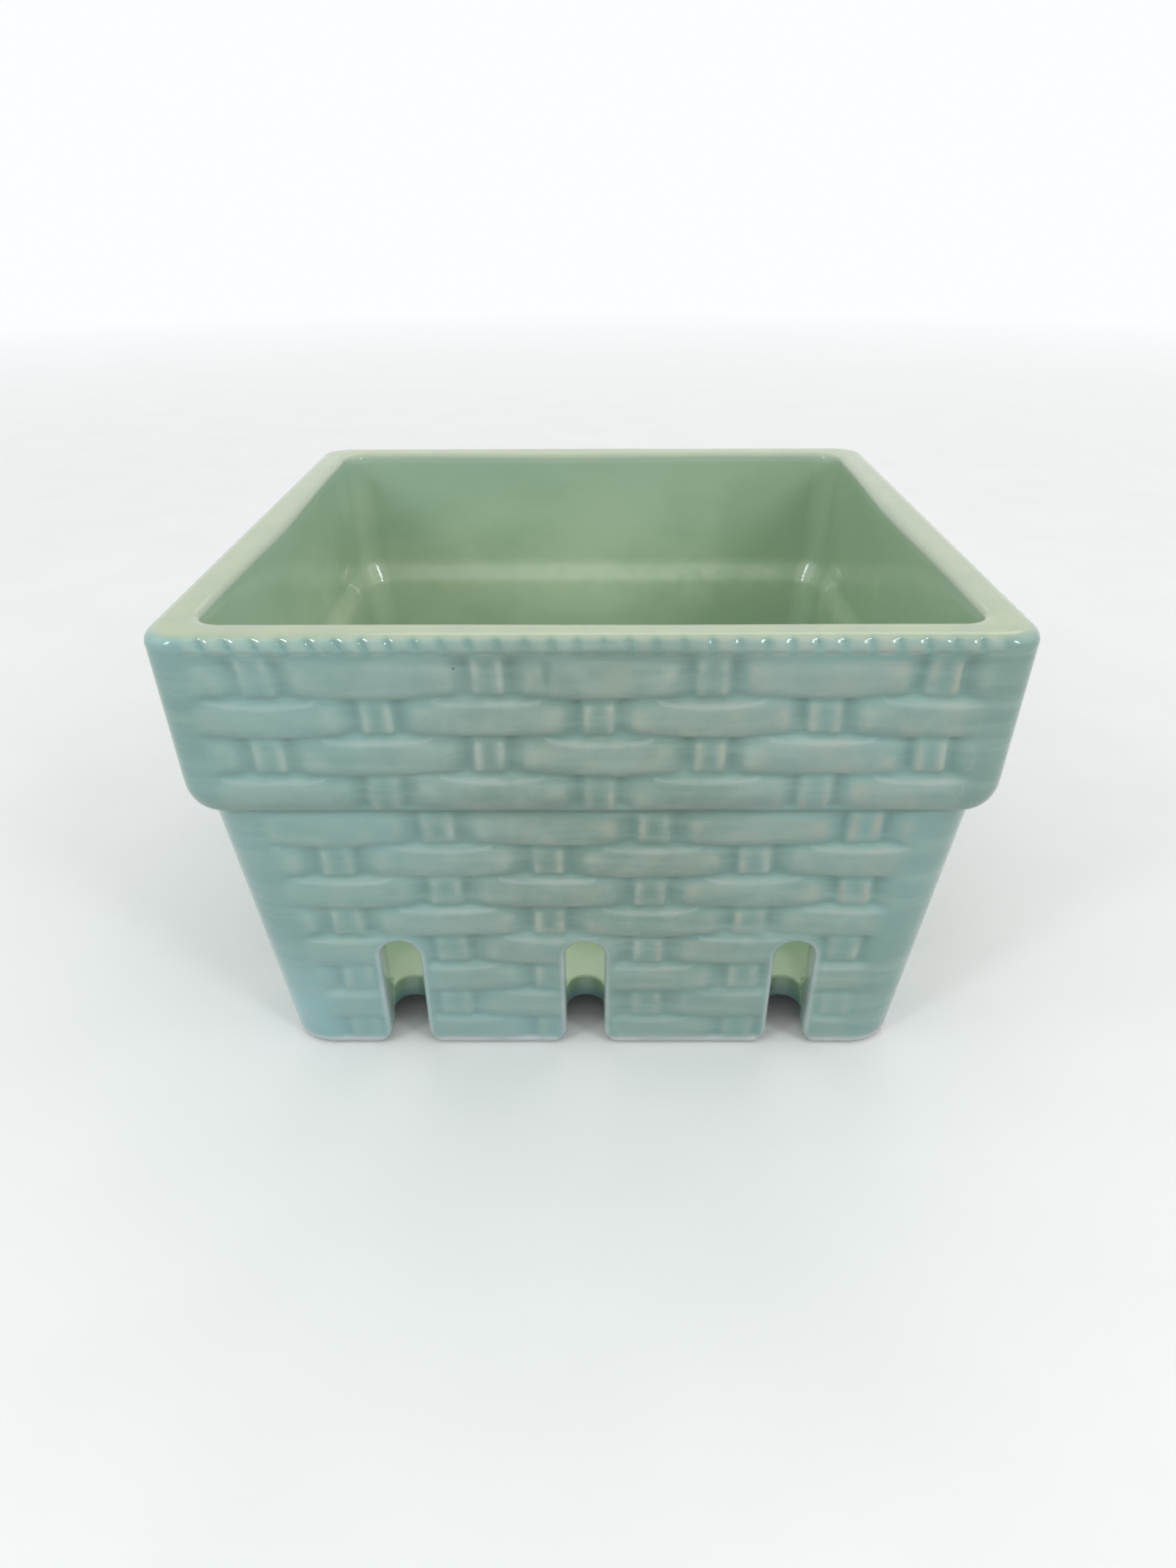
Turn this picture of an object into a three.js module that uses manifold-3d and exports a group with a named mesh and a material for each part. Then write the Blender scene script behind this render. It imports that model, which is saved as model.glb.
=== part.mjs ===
// A square glazed ceramic berry box in basketweave relief, with three arched drain slots in each side.
// Sizes are in millimetres. +Z is up, the front faces -Y, and the origin is on the table under the middle.
// The box is a single casting. Its nodes are the regions that its own features mark out: a raised floor,
// and on each side four feet between the slots, a lower wall, a prouder collar, a smooth rim and a rope
// edging, mitred at the corners.

import * as THREE from "three";
import { mergeVertices } from "three/addons/utils/BufferGeometryUtils.js";
import Module from "manifold-3d";

// Outside sizes
const TOTAL_HEIGHT = 85.4;
const RIM_WIDTH = 133; // over the rope edging
const COLLAR_LEAN = 1.6; // how far each collar side leans in from the rim to its lower edge
const COLLAR_STEP = 2.1; // how far the collar stands out past the wall, also the width of its lower round
const COLLAR_ROUND_HEIGHT = 5;
const COLLAR_BOTTOM_Z = 54.7;
const COLLAR_CORNER_RADIUS = 5.5;
const FOOT_WIDTH = 113;
const WALL_CORNER_RADIUS = 8;
const FOOT_ROUND_WIDTH = 1.6;
const FOOT_ROUND_HEIGHT = 1.9;

// The cavity and its floor
const RIM_THICKNESS = 6.7;
const FOOT_THICKNESS = 4.8; // of the wall at the table, before its outer edge rounds off
const FLOOR_UNDERSIDE_Z = 5;
const FLOOR_THICKNESS = 4.8;
const INNER_CORNER_RADIUS = 5.5;
const RIM_ROUND = 0.9;
const INNER_STEP_DROP = 1.7; // how far below the collar's lower edge the cavity starts to step out

// Basketweave relief: strands and stakes stand in a field sunk between the smooth corners
const FIELD_DEPTH = 1.1;
const FIELD_FADE = 5; // width over which the field slopes up to a smooth corner
const PLAIN_STRIP = 0.2; // bare strip above and below the rows
const STRAND_TOP_DEPTH = 0.12;
const STRAND_BULGE = 0.7; // how far a strand's middle leans over the next rows
const STRAND_GROOVE = 0.5; // between one strand and the strands above and below it
const STRAND_CREST_SHARE = 0.5; // of the strand's height that stays at full relief
const STRAND_END_SLOPE = 1.3;
const STRAND_STEPS = 3; // facets along a strand's edge
const STAKE_SPACING = 34.6;
const STAKE_WIDTH = 5.8;
const STAKE_TOP_DEPTH = 0.35;
const STAKE_GAP = 1.3; // between a stake and the strand beside it
const WALL_ROWS = 8;
const WALL_FIRST_STAKE_X = -7.5; // in the bottom row, and every second row above it
const COLLAR_ROWS = 4;
const COLLAR_FIRST_STAKE_X = 0.8;
const ROOTED = 0.5; // how deep a raised form is rooted below the field

// Rope edging
const ROPE_HEIGHT = 2.5;
const ROPE_DEPTH = 1.9;
const ROPE_EDGE_ROUND = 0.6;
const ROPE_BEAD_SPACING = 3.9;
const ROPE_GROOVE_WIDTH = 1.4;
const ROPE_GROOVE_DEPTH = 0.7;
const ROPE_LEAN = 0.35; // how far a bead's top and bottom lean sideways

// Drain slots, counted from the left as that side is faced
const SLOT_X = [-34, -1.2, 36];
const SLOT_WIDTH = 7;
const SLOT_HEIGHT = 25.8;
const SLOT_LIP_RADIUS = 2.8; // rounded bottom corners of the feet
const CUT_OVERRUN = 4; // how far a cutter runs past what it cuts

// Faceting
const CORNER_STEPS = 3; // facets in half a corner
const ARCH_STEPS = 5;
const BITE_STEPS = 12;
const BEAD_STEPS = 2; // up a bead of the rope edging
const FOOT_ROUND_SHARES = [0, 0.3, 1]; // heights in a rounded edge where its facets meet
const COLLAR_ROUND_SHARES = [0, 0.06, 0.25, 0.55, 1];

const FLOOR_TOP_Z = FLOOR_UNDERSIDE_Z + FLOOR_THICKNESS;
const FOOT_TOP_Z = SLOT_HEIGHT - SLOT_WIDTH / 2; // where the slots' arches spring
const RIM_BOTTOM_Z = TOTAL_HEIGHT - ROPE_HEIGHT;
const COLLAR_BOTTOM_WIDTH = RIM_WIDTH - 2 * COLLAR_LEAN;
const WALL_TOP_WIDTH = COLLAR_BOTTOM_WIDTH - 2 * COLLAR_STEP;
const MOUTH_WIDTH = RIM_WIDTH - 2 * RIM_THICKNESS;
const FLOOR_WIDTH = FOOT_WIDTH - 2 * FOOT_THICKNESS;
const ROPE_SEAM_WIDTH = RIM_WIDTH - 2 * ROPE_DEPTH;
const INNER_STEP_BOTTOM_Z = COLLAR_BOTTOM_Z - INNER_STEP_DROP;
const INNER_STEP_TOP_Z = COLLAR_BOTTOM_Z + COLLAR_ROUND_HEIGHT;
const MITRE_TURN = Math.PI / 4;
const QUARTER_TURN = Math.PI / 2;

const wasm = await Module();
wasm.setup();

// A closed geometry as a solid for cutting.
function toSolid(geometry) {
  const bare = geometry.clone();
  bare.deleteAttribute("normal");
  bare.deleteAttribute("uv");
  const merged = mergeVertices(bare);
  const vertProperties = merged.attributes.position.array;
  const triVerts = new Uint32Array(merged.index.array);
  return new wasm.Manifold(
    new wasm.Mesh({ numProp: 3, vertProperties, triVerts }),
  );
}

function toGeometry(solid) {
  const { vertProperties, triVerts } = solid.getMesh();
  const position = new THREE.BufferAttribute(vertProperties, 3);
  const geometry = new THREE.BufferGeometry().setAttribute("position", position);
  return geometry.setIndex(new THREE.BufferAttribute(triVerts, 1));
}

function glaze(color) {
  return new THREE.MeshStandardMaterial({ color, roughness: 0.15, metalness: 0 });
}

const wallGlaze = glaze(0x84a59d);
const collarGlaze = glaze(0x8aaaa0);
const rimGlaze = glaze(0xc8d2b6);
const ropeGlaze = glaze(0x96b3a6);
const floorGlaze = glaze(0x8fae88);

// Inwards share of a quarter round, from 1 at its end to 0 where it meets the flat.
function quarterRound(share) {
  const rest = 1 - THREE.MathUtils.clamp(share, 0, 1);
  return 1 - Math.sqrt(1 - rest * rest);
}

function wallHalfWidth(z) {
  const flat = THREE.MathUtils.lerp(FOOT_WIDTH, WALL_TOP_WIDTH, z / COLLAR_BOTTOM_Z) / 2;
  return flat - FOOT_ROUND_WIDTH * quarterRound(z / FOOT_ROUND_HEIGHT);
}

function collarHalfWidth(z) {
  const rise = z - COLLAR_BOTTOM_Z;
  const share = rise / (TOTAL_HEIGHT - COLLAR_BOTTOM_Z);
  const flat = THREE.MathUtils.lerp(COLLAR_BOTTOM_WIDTH, RIM_WIDTH, share) / 2;
  return flat - COLLAR_STEP * quarterRound(rise / COLLAR_ROUND_HEIGHT);
}

// The cavity runs alongside the wall below and the collar above, and steps out softly between them.
function cavityHalfWidth(z) {
  const wallSlope = (WALL_TOP_WIDTH - FOOT_WIDTH) / 2 / COLLAR_BOTTOM_Z;
  const low = FLOOR_WIDTH / 2 + wallSlope * Math.max(0, z - FLOOR_TOP_Z);
  const collarSlope = COLLAR_LEAN / (TOTAL_HEIGHT - COLLAR_BOTTOM_Z);
  const high = MOUTH_WIDTH / 2 - collarSlope * (TOTAL_HEIGHT - z);
  const share = THREE.MathUtils.smoothstep(z, INNER_STEP_BOTTOM_Z, INNER_STEP_TOP_Z);
  return THREE.MathUtils.lerp(low, high, share);
}

// A station is a place along one side of a rounded square: at a turn round a corner, or on the flat at the
// edge of the sunk field.
function cornerStations(side) {
  const turns = Array.from({ length: CORNER_STEPS + 1 }, (_, i) => (i * MITRE_TURN) / CORNER_STEPS);
  const stations = turns.map((turn) => ({ side, turn, inset: 0 }));
  return side < 0 ? stations.reverse() : stations;
}

const plainStations = [...cornerStations(-1), ...cornerStations(1)];
const fieldStations = [
  ...cornerStations(-1),
  { side: -1, turn: 0, inset: FIELD_FADE, inField: true },
  { side: 1, turn: 0, inset: FIELD_FADE, inField: true },
  ...cornerStations(1),
];

// The point at a station of the front side of a rounded square.
function planPoint(station, halfWidth, radius) {
  const straight = halfWidth - radius;
  const x = station.side * (straight - station.inset + radius * Math.sin(station.turn));
  return new THREE.Vector2(x, -(straight + radius * Math.cos(station.turn)));
}

// A closed slab between an outer and an inner surface, on a grid of stations and levels.
function panelGeometry(stations, levels, outerPoint, innerPoint) {
  const columns = stations.length - 1;
  const rows = levels.length - 1;
  const geometry = new THREE.BoxGeometry(1, 1, 1, columns, 1, rows);
  const position = geometry.attributes.position;
  for (let i = 0; i < position.count; i += 1) {
    const station = stations[Math.round((position.getX(i) + 0.5) * columns)];
    const level = levels[Math.round((position.getZ(i) + 0.5) * rows)];
    const isOuter = position.getY(i) < 0;
    const point = isOuter ? outerPoint(station, level) : innerPoint(station, level);
    position.setXYZ(i, point.x, point.y, point.z);
  }
  return geometry;
}

function cavityPoint(station, level) {
  const plan = planPoint(station, cavityHalfWidth(level.z), INNER_CORNER_RADIUS);
  return new THREE.Vector3(plan.x, plan.y, level.z);
}

// One side's slab, smooth at the corners, with a sunk field between them for the weave.
function sideSlab(weave) {
  const outerPoint = (station, level) => {
    const plan = planPoint(station, weave.halfWidth(level.z), weave.radius);
    const depth = station.inField && level.z >= weave.fieldBottomZ ? FIELD_DEPTH : 0;
    return new THREE.Vector3(plan.x, plan.y + depth, level.z);
  };
  const levels = weave.levels.map((z) => ({ z }));
  return toSolid(panelGeometry(fieldStations, levels, outerPoint, cavityPoint));
}

// Lays a raised form on a side: its y is the depth below the smooth surface, and turns into a place on it.
function layOnSide(geometry, weave) {
  const position = geometry.attributes.position;
  for (let i = 0; i < position.count; i += 1)
    position.setY(i, position.getY(i) - weave.halfWidth(position.getZ(i)));
  return toSolid(geometry);
}

// A strand is a pillow: widest at its middle, and sloping down to the field all round.
function strand(weave, centreX, middleZ, rowHeight) {
  const halfLength = (STAKE_SPACING - STAKE_WIDTH) / 2 - STAKE_GAP;
  const reach = weave.halfWidth(middleZ - rowHeight / 2) - weave.radius - STRAND_TOP_DEPTH;
  const startX = Math.max(-reach, centreX - halfLength);
  const endX = Math.min(reach, centreX + halfLength);
  if (endX - startX < STAKE_WIDTH) return null;
  const edge = Array.from({ length: STRAND_STEPS + 1 }, (_, i) => {
    const x = THREE.MathUtils.lerp(startX, endX, i / STRAND_STEPS);
    const share = (x - centreX) / halfLength;
    return new THREE.Vector2(x, (rowHeight - STRAND_GROOVE) / 2 + STRAND_BULGE * (1 - 2 * share * share));
  });
  const lower = edge.map((point) => new THREE.Vector2(point.x, -point.y));
  const outline = new THREE.Shape([...lower, ...edge.reverse()]);
  const geometry = new THREE.ExtrudeGeometry(outline, { depth: 1, bevelEnabled: false });
  const position = geometry.attributes.position;
  const crestX = (x) => THREE.MathUtils.clamp(x, startX + STRAND_END_SLOPE, endX - STRAND_END_SLOPE);
  for (let i = 0; i < position.count; i += 1) {
    const isCrest = position.getZ(i) > 0.5;
    const x = position.getX(i);
    const rise = position.getY(i) * (isCrest ? STRAND_CREST_SHARE : 1);
    const depth = isCrest ? STRAND_TOP_DEPTH : FIELD_DEPTH + ROOTED;
    position.setXYZ(i, isCrest ? crestX(x) : x, depth, middleZ + rise);
  }
  return layOnSide(geometry, weave);
}

// A stake shows between two strands as a short upright.
function stake(weave, centreX, middleZ, rowHeight) {
  const reach = weave.halfWidth(middleZ - rowHeight / 2) - weave.radius;
  if (Math.abs(centreX) + STAKE_WIDTH / 2 > reach) return null;
  const geometry = new THREE.BoxGeometry(STAKE_WIDTH, 1, rowHeight - 2 * STRAND_BULGE);
  const position = geometry.attributes.position;
  for (let i = 0; i < position.count; i += 1)
    position.setY(i, position.getY(i) < 0 ? STAKE_TOP_DEPTH : FIELD_DEPTH + ROOTED);
  return layOnSide(geometry.translate(centreX, 0, middleZ), weave);
}

// Every strand and stake of a side, row by row from the bottom, with the stakes staggered row to row.
function weaveForms(weave) {
  const margin = PLAIN_STRIP + STRAND_BULGE;
  const rowHeight = (weave.topZ - weave.fieldBottomZ - 2 * margin) / weave.rows;
  const places = Math.ceil(RIM_WIDTH / STAKE_SPACING);
  const forms = [];
  for (let row = 0; row < weave.rows; row += 1) {
    const middleZ = weave.fieldBottomZ + margin + (row + 0.5) * rowHeight;
    const stagger = ((row % 2) * STAKE_SPACING) / 2;
    for (let place = -places; place <= places; place += 1) {
      const stakeX = weave.firstStakeX + stagger + place * STAKE_SPACING;
      forms.push(stake(weave, stakeX, middleZ, rowHeight));
      forms.push(strand(weave, stakeX + STAKE_SPACING / 2, middleZ, rowHeight));
    }
  }
  return forms.filter((form) => form !== null);
}

function wovenSide(weave) {
  return weaveForms(weave).reduce((side, form) => side.add(form), sideSlab(weave));
}

// A slot's outline: flared at the table by the feet's rounded corners, arched at the top.
function slotOutline() {
  const half = SLOT_WIDTH / 2;
  const lip = half + SLOT_LIP_RADIUS;
  const outline = new THREE.Shape();
  outline.moveTo(-lip, -CUT_OVERRUN);
  outline.lineTo(-lip, 0);
  outline.absarc(-lip, SLOT_LIP_RADIUS, SLOT_LIP_RADIUS, -QUARTER_TURN, 0, false);
  outline.lineTo(-half, SLOT_HEIGHT - half);
  outline.absarc(0, SLOT_HEIGHT - half, half, Math.PI, 0, true);
  outline.lineTo(half, SLOT_LIP_RADIUS);
  outline.absarc(lip, SLOT_LIP_RADIUS, SLOT_LIP_RADIUS, Math.PI, Math.PI + QUARTER_TURN, false);
  outline.lineTo(lip, -CUT_OVERRUN);
  return outline;
}

function slotCutter(x) {
  const insideY = FLOOR_WIDTH / 2 - CUT_OVERRUN;
  const depth = WALL_TOP_WIDTH / 2 + CUT_OVERRUN - insideY;
  const options = { depth, bevelEnabled: false, curveSegments: ARCH_STEPS };
  const geometry = new THREE.ExtrudeGeometry(slotOutline(), options);
  return toSolid(geometry.rotateX(QUARTER_TURN).translate(x, -insideY, 0));
}

// A side from the table to the collar, with its slots cut: the lower wall and its feet in one.
function slottedSide() {
  const rounded = FOOT_ROUND_SHARES.map((share) => share * FOOT_ROUND_HEIGHT);
  const side = wovenSide({
    levels: [...rounded, FLOOR_TOP_Z, INNER_STEP_BOTTOM_Z, COLLAR_BOTTOM_Z],
    fieldBottomZ: FOOT_ROUND_HEIGHT,
    topZ: COLLAR_BOTTOM_Z,
    rows: WALL_ROWS,
    firstStakeX: WALL_FIRST_STAKE_X,
    radius: WALL_CORNER_RADIUS,
    halfWidth: wallHalfWidth,
  });
  return SLOT_X.map(slotCutter).reduce((wall, cutter) => wall.subtract(cutter), side);
}

// A block that holds all of a side between two places along it and two heights.
function block(startX, endX, startZ, endZ) {
  const geometry = new THREE.BoxGeometry(endX - startX, RIM_WIDTH, endZ - startZ);
  return toSolid(geometry.translate((startX + endX) / 2, -RIM_WIDTH / 2, (startZ + endZ) / 2));
}

// The feet of a side, from left to right, parted at the middles of the slots.
function footGeometries(feet) {
  const edges = [-RIM_WIDTH / 2, ...SLOT_X, RIM_WIDTH / 2];
  const blocks = SLOT_X.concat(RIM_WIDTH / 2).map((endX, i) =>
    block(edges[i], endX, -CUT_OVERRUN, FOOT_TOP_Z + CUT_OVERRUN),
  );
  return blocks.map((footBlock) => toGeometry(feet.intersect(footBlock)));
}

function collar() {
  const rounded = COLLAR_ROUND_SHARES.map((share) => COLLAR_BOTTOM_Z + share * COLLAR_ROUND_HEIGHT);
  const side = wovenSide({
    levels: [...rounded, RIM_BOTTOM_Z],
    fieldBottomZ: COLLAR_BOTTOM_Z,
    topZ: RIM_BOTTOM_Z,
    rows: COLLAR_ROWS,
    firstStakeX: COLLAR_FIRST_STAKE_X,
    radius: COLLAR_CORNER_RADIUS,
    halfWidth: collarHalfWidth,
  });
  return toGeometry(side);
}

// The seam between rim and rope edging, an upright face just behind the beads.
function seamPoint(station, level) {
  const plan = planPoint(station, ROPE_SEAM_WIDTH / 2, COLLAR_CORNER_RADIUS);
  return new THREE.Vector3(plan.x, plan.y, level.z);
}

function rim() {
  const shoulderZ = TOTAL_HEIGHT - RIM_ROUND;
  const levels = [RIM_BOTTOM_Z, shoulderZ, TOTAL_HEIGHT].map((z) => ({ z }));
  const innerPoint = (station, level) => {
    const rounded = level.z > shoulderZ ? RIM_ROUND : 0;
    const plan = planPoint(station, cavityHalfWidth(level.z) + rounded, INNER_CORNER_RADIUS);
    return new THREE.Vector3(plan.x, plan.y, level.z);
  };
  return panelGeometry(plainStations, levels, seamPoint, innerPoint);
}

// The rope edging's plan: an outer side notched into beads, then back along the seam with the rim.
function ropePlan() {
  const corner = (side) =>
    cornerStations(side).map((station) => planPoint(station, RIM_WIDTH / 2, COLLAR_CORNER_RADIUS));
  const seam = plainStations.map((station) =>
    planPoint(station, ROPE_SEAM_WIDTH / 2, COLLAR_CORNER_RADIUS),
  );
  const straight = RIM_WIDTH / 2 - COLLAR_CORNER_RADIUS - ROPE_GROOVE_WIDTH;
  const beads = Math.floor(straight / ROPE_BEAD_SPACING);
  const grooves = Array.from({ length: 2 * beads + 1 }, (_, i) => (i - beads) * ROPE_BEAD_SPACING);
  const notched = grooves.flatMap((x) => [
    new THREE.Vector2(x - ROPE_GROOVE_WIDTH / 2, -RIM_WIDTH / 2),
    new THREE.Vector2(x, ROPE_GROOVE_DEPTH - RIM_WIDTH / 2),
    new THREE.Vector2(x + ROPE_GROOVE_WIDTH / 2, -RIM_WIDTH / 2),
  ]);
  return new THREE.Shape([...corner(-1), ...notched, ...corner(1), ...seam.reverse()]);
}

// How far a plan point of the front side lies outside the seam.
function seamOffset(x, y) {
  const straight = ROPE_SEAM_WIDTH / 2 - COLLAR_CORNER_RADIUS;
  return Math.hypot(Math.max(Math.abs(x) - straight, 0), Math.max(-y - straight, 0)) - COLLAR_CORNER_RADIUS;
}

// A strip of beads that lean sideways and round over at the top and bottom.
function ropeEdging() {
  const options = { depth: ROPE_HEIGHT, steps: BEAD_STEPS, bevelEnabled: false };
  const geometry = new THREE.ExtrudeGeometry(ropePlan(), options);
  const position = geometry.attributes.position;
  const straight = RIM_WIDTH / 2 - COLLAR_CORNER_RADIUS;
  const grooveBottom = ROPE_DEPTH - ROPE_GROOVE_DEPTH;
  for (let i = 0; i < position.count; i += 1) {
    const [x, y, z] = [position.getX(i), position.getY(i), position.getZ(i)];
    const step = Math.round((BEAD_STEPS * z) / ROPE_HEIGHT);
    const end = (2 * step) / BEAD_STEPS - 1; // -1 at the bottom, 1 at the top
    const isOuter = seamOffset(x, y) > grooveBottom / 2;
    const shrink = isOuter ? 1 - (2 * Math.abs(end) * ROPE_EDGE_ROUND) / RIM_WIDTH : 1;
    const lean = isOuter && Math.abs(x) < straight ? -end * ROPE_LEAN : 0;
    const drop = isOuter && end === 1 ? ROPE_EDGE_ROUND : 0;
    position.setXYZ(i, x * shrink + lean, y * shrink, RIM_BOTTOM_Z + z - drop);
  }
  return geometry;
}

// The floor slab fills the cavity's plan and has a round bite where each slot passes its edge.
function floorSlab() {
  const side = plainStations.map((station) => planPoint(station, FLOOR_WIDTH / 2, INNER_CORNER_RADIUS));
  const middle = new THREE.Vector2();
  const quarters = [0, 1, 2, 3].map((quarter) => quarter * QUARTER_TURN);
  const outline = quarters.flatMap((turn) =>
    side.slice(0, -1).map((point) => point.clone().rotateAround(middle, turn)),
  );
  const options = { depth: FLOOR_THICKNESS, bevelEnabled: false };
  const slab = new THREE.ExtrudeGeometry(new THREE.Shape(outline), options);
  const height = FLOOR_THICKNESS + 2 * CUT_OVERRUN;
  const middleZ = FLOOR_UNDERSIDE_Z + FLOOR_THICKNESS / 2;
  const bites = quarters.flatMap((turn) =>
    SLOT_X.map((x) => {
      const bite = new THREE.CylinderGeometry(SLOT_WIDTH / 2, SLOT_WIDTH / 2, height, BITE_STEPS);
      bite.rotateX(QUARTER_TURN).translate(x, -FLOOR_WIDTH / 2, middleZ);
      return toSolid(bite.rotateZ(turn));
    }),
  );
  const whole = toSolid(slab.translate(0, 0, FLOOR_UNDERSIDE_Z));
  return toGeometry(bites.reduce((floor, bite) => floor.subtract(bite), whole));
}

function addMesh(group, name, geometry, material) {
  const mesh = new THREE.Mesh(geometry, material);
  mesh.name = name;
  group.add(mesh);
}

const berryBox = new THREE.Group();
addMesh(berryBox, "floor_slab", floorSlab(), floorGlaze);

const lowerSide = slottedSide();
const aboveFeet = block(-RIM_WIDTH / 2, RIM_WIDTH / 2, FOOT_TOP_Z, TOTAL_HEIGHT);
const wallGeometry = toGeometry(lowerSide.intersect(aboveFeet));
const feet = footGeometries(lowerSide.subtract(aboveFeet));
const collarGeometry = collar();
const rimGeometry = rim();
const ropeGeometry = ropeEdging();
["front", "right", "back", "left"].forEach((place, quarter) => {
  const side = new THREE.Group();
  side.rotation.z = quarter * QUARTER_TURN;
  feet.forEach((foot, i) => addMesh(side, `foot_${place}_${i + 1}`, foot, wallGlaze));
  addMesh(side, `lower_wall_${place}`, wallGeometry, wallGlaze);
  addMesh(side, `collar_${place}`, collarGeometry, collarGlaze);
  addMesh(side, `rim_${place}`, rimGeometry, rimGlaze);
  addMesh(side, `rope_edging_${place}`, ropeGeometry, ropeGlaze);
  berryBox.add(side);
});

export default berryBox;
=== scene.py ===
"""Dresses a square ceramic berry box in celadon glaze.

The pieces are its woven walls on their feet, the stepped collars, the rope edging, the rim and the floor.
"""

from __future__ import annotations

import logging
import math
from dataclasses import dataclass
from dataclasses import field
from enum import Enum

import bpy
import numpy as np
from mathutils import Matrix
from mathutils import Vector
from mathutils.kdtree import KDTree


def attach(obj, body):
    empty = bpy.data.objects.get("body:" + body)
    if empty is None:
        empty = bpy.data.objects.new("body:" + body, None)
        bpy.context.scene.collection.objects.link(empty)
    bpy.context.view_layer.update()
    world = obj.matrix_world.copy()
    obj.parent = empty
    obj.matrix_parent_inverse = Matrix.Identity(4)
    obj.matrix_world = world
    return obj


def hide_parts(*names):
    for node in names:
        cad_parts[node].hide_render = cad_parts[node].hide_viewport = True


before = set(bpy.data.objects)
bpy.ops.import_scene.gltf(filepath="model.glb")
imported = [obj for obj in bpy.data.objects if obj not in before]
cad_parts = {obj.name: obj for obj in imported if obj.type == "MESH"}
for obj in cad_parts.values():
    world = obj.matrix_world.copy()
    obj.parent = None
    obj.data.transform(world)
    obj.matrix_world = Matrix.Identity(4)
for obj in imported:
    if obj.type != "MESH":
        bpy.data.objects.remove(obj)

MM = 0.001
TOUCH = 2e-6
SEAM_REACH = 0.05
LAMP_AIM = (0.0, 0.0, 0.04)
Array = np.ndarray
Socket = bpy.types.NodeSocket
log = logging.getLogger("berry_box")


class Side(Enum):
    """The four sides, with the quarter turns that bring the front round to each."""

    FRONT = 0
    RIGHT = 1
    BACK = 2
    LEFT = 3

    @property
    def place(self) -> str:
        """The side's name as the regions of the box spell it."""
        return self.name.lower()


class Tone(Enum):
    """Values kept at each point of the surface, which the glaze turns into colour."""

    # The pool tone also carries painted light on the ledges and the inner step, and painted shade on the
    # floor's sides; the edge tone also carries painted highlight lines.
    POOL = "glaze_pool"
    EDGE = "thin_edge"
    CREAM = "rim_cream"
    INNER = "inside_tone"


class Slot(Enum):
    """Material slots of the record."""

    WALL = "wall_glaze"
    COLLAR = "collar_glaze"
    RIM = "rim_glaze"
    ROPE = "rope_glaze"
    FLOOR = "floor_glaze"


# Shaping helpers


def smooth(share: Array) -> Array:
    """Eases values from 0 to 1, cut off outside that, with no corner at either end."""
    cut = np.clip(share, 0.0, 1.0)
    return cut * cut * (3.0 - 2.0 * cut)


def quarter_round(share: Array) -> Array:
    """Inward share of a quarter round, 1 where it starts and 0 where it meets the flat."""
    rest = 1.0 - np.clip(share, 0.0, 1.0)
    return 1.0 - np.sqrt(np.maximum(1.0 - rest * rest, 0.0))


def bell(value: Array, middle: float | Array, width: float) -> Array:
    """1 at the middle, falling off softly on either side over about twice the width."""
    return np.exp(-(((value - middle) / width) ** 2))


def spaced(start: float, end: float, step: float) -> Array:
    """Evenly spaced places from start up to, but not with, end, at most a step apart."""
    count = max(1, math.ceil(abs(end - start) / step))
    return np.linspace(start, end, count, endpoint=False)


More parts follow.
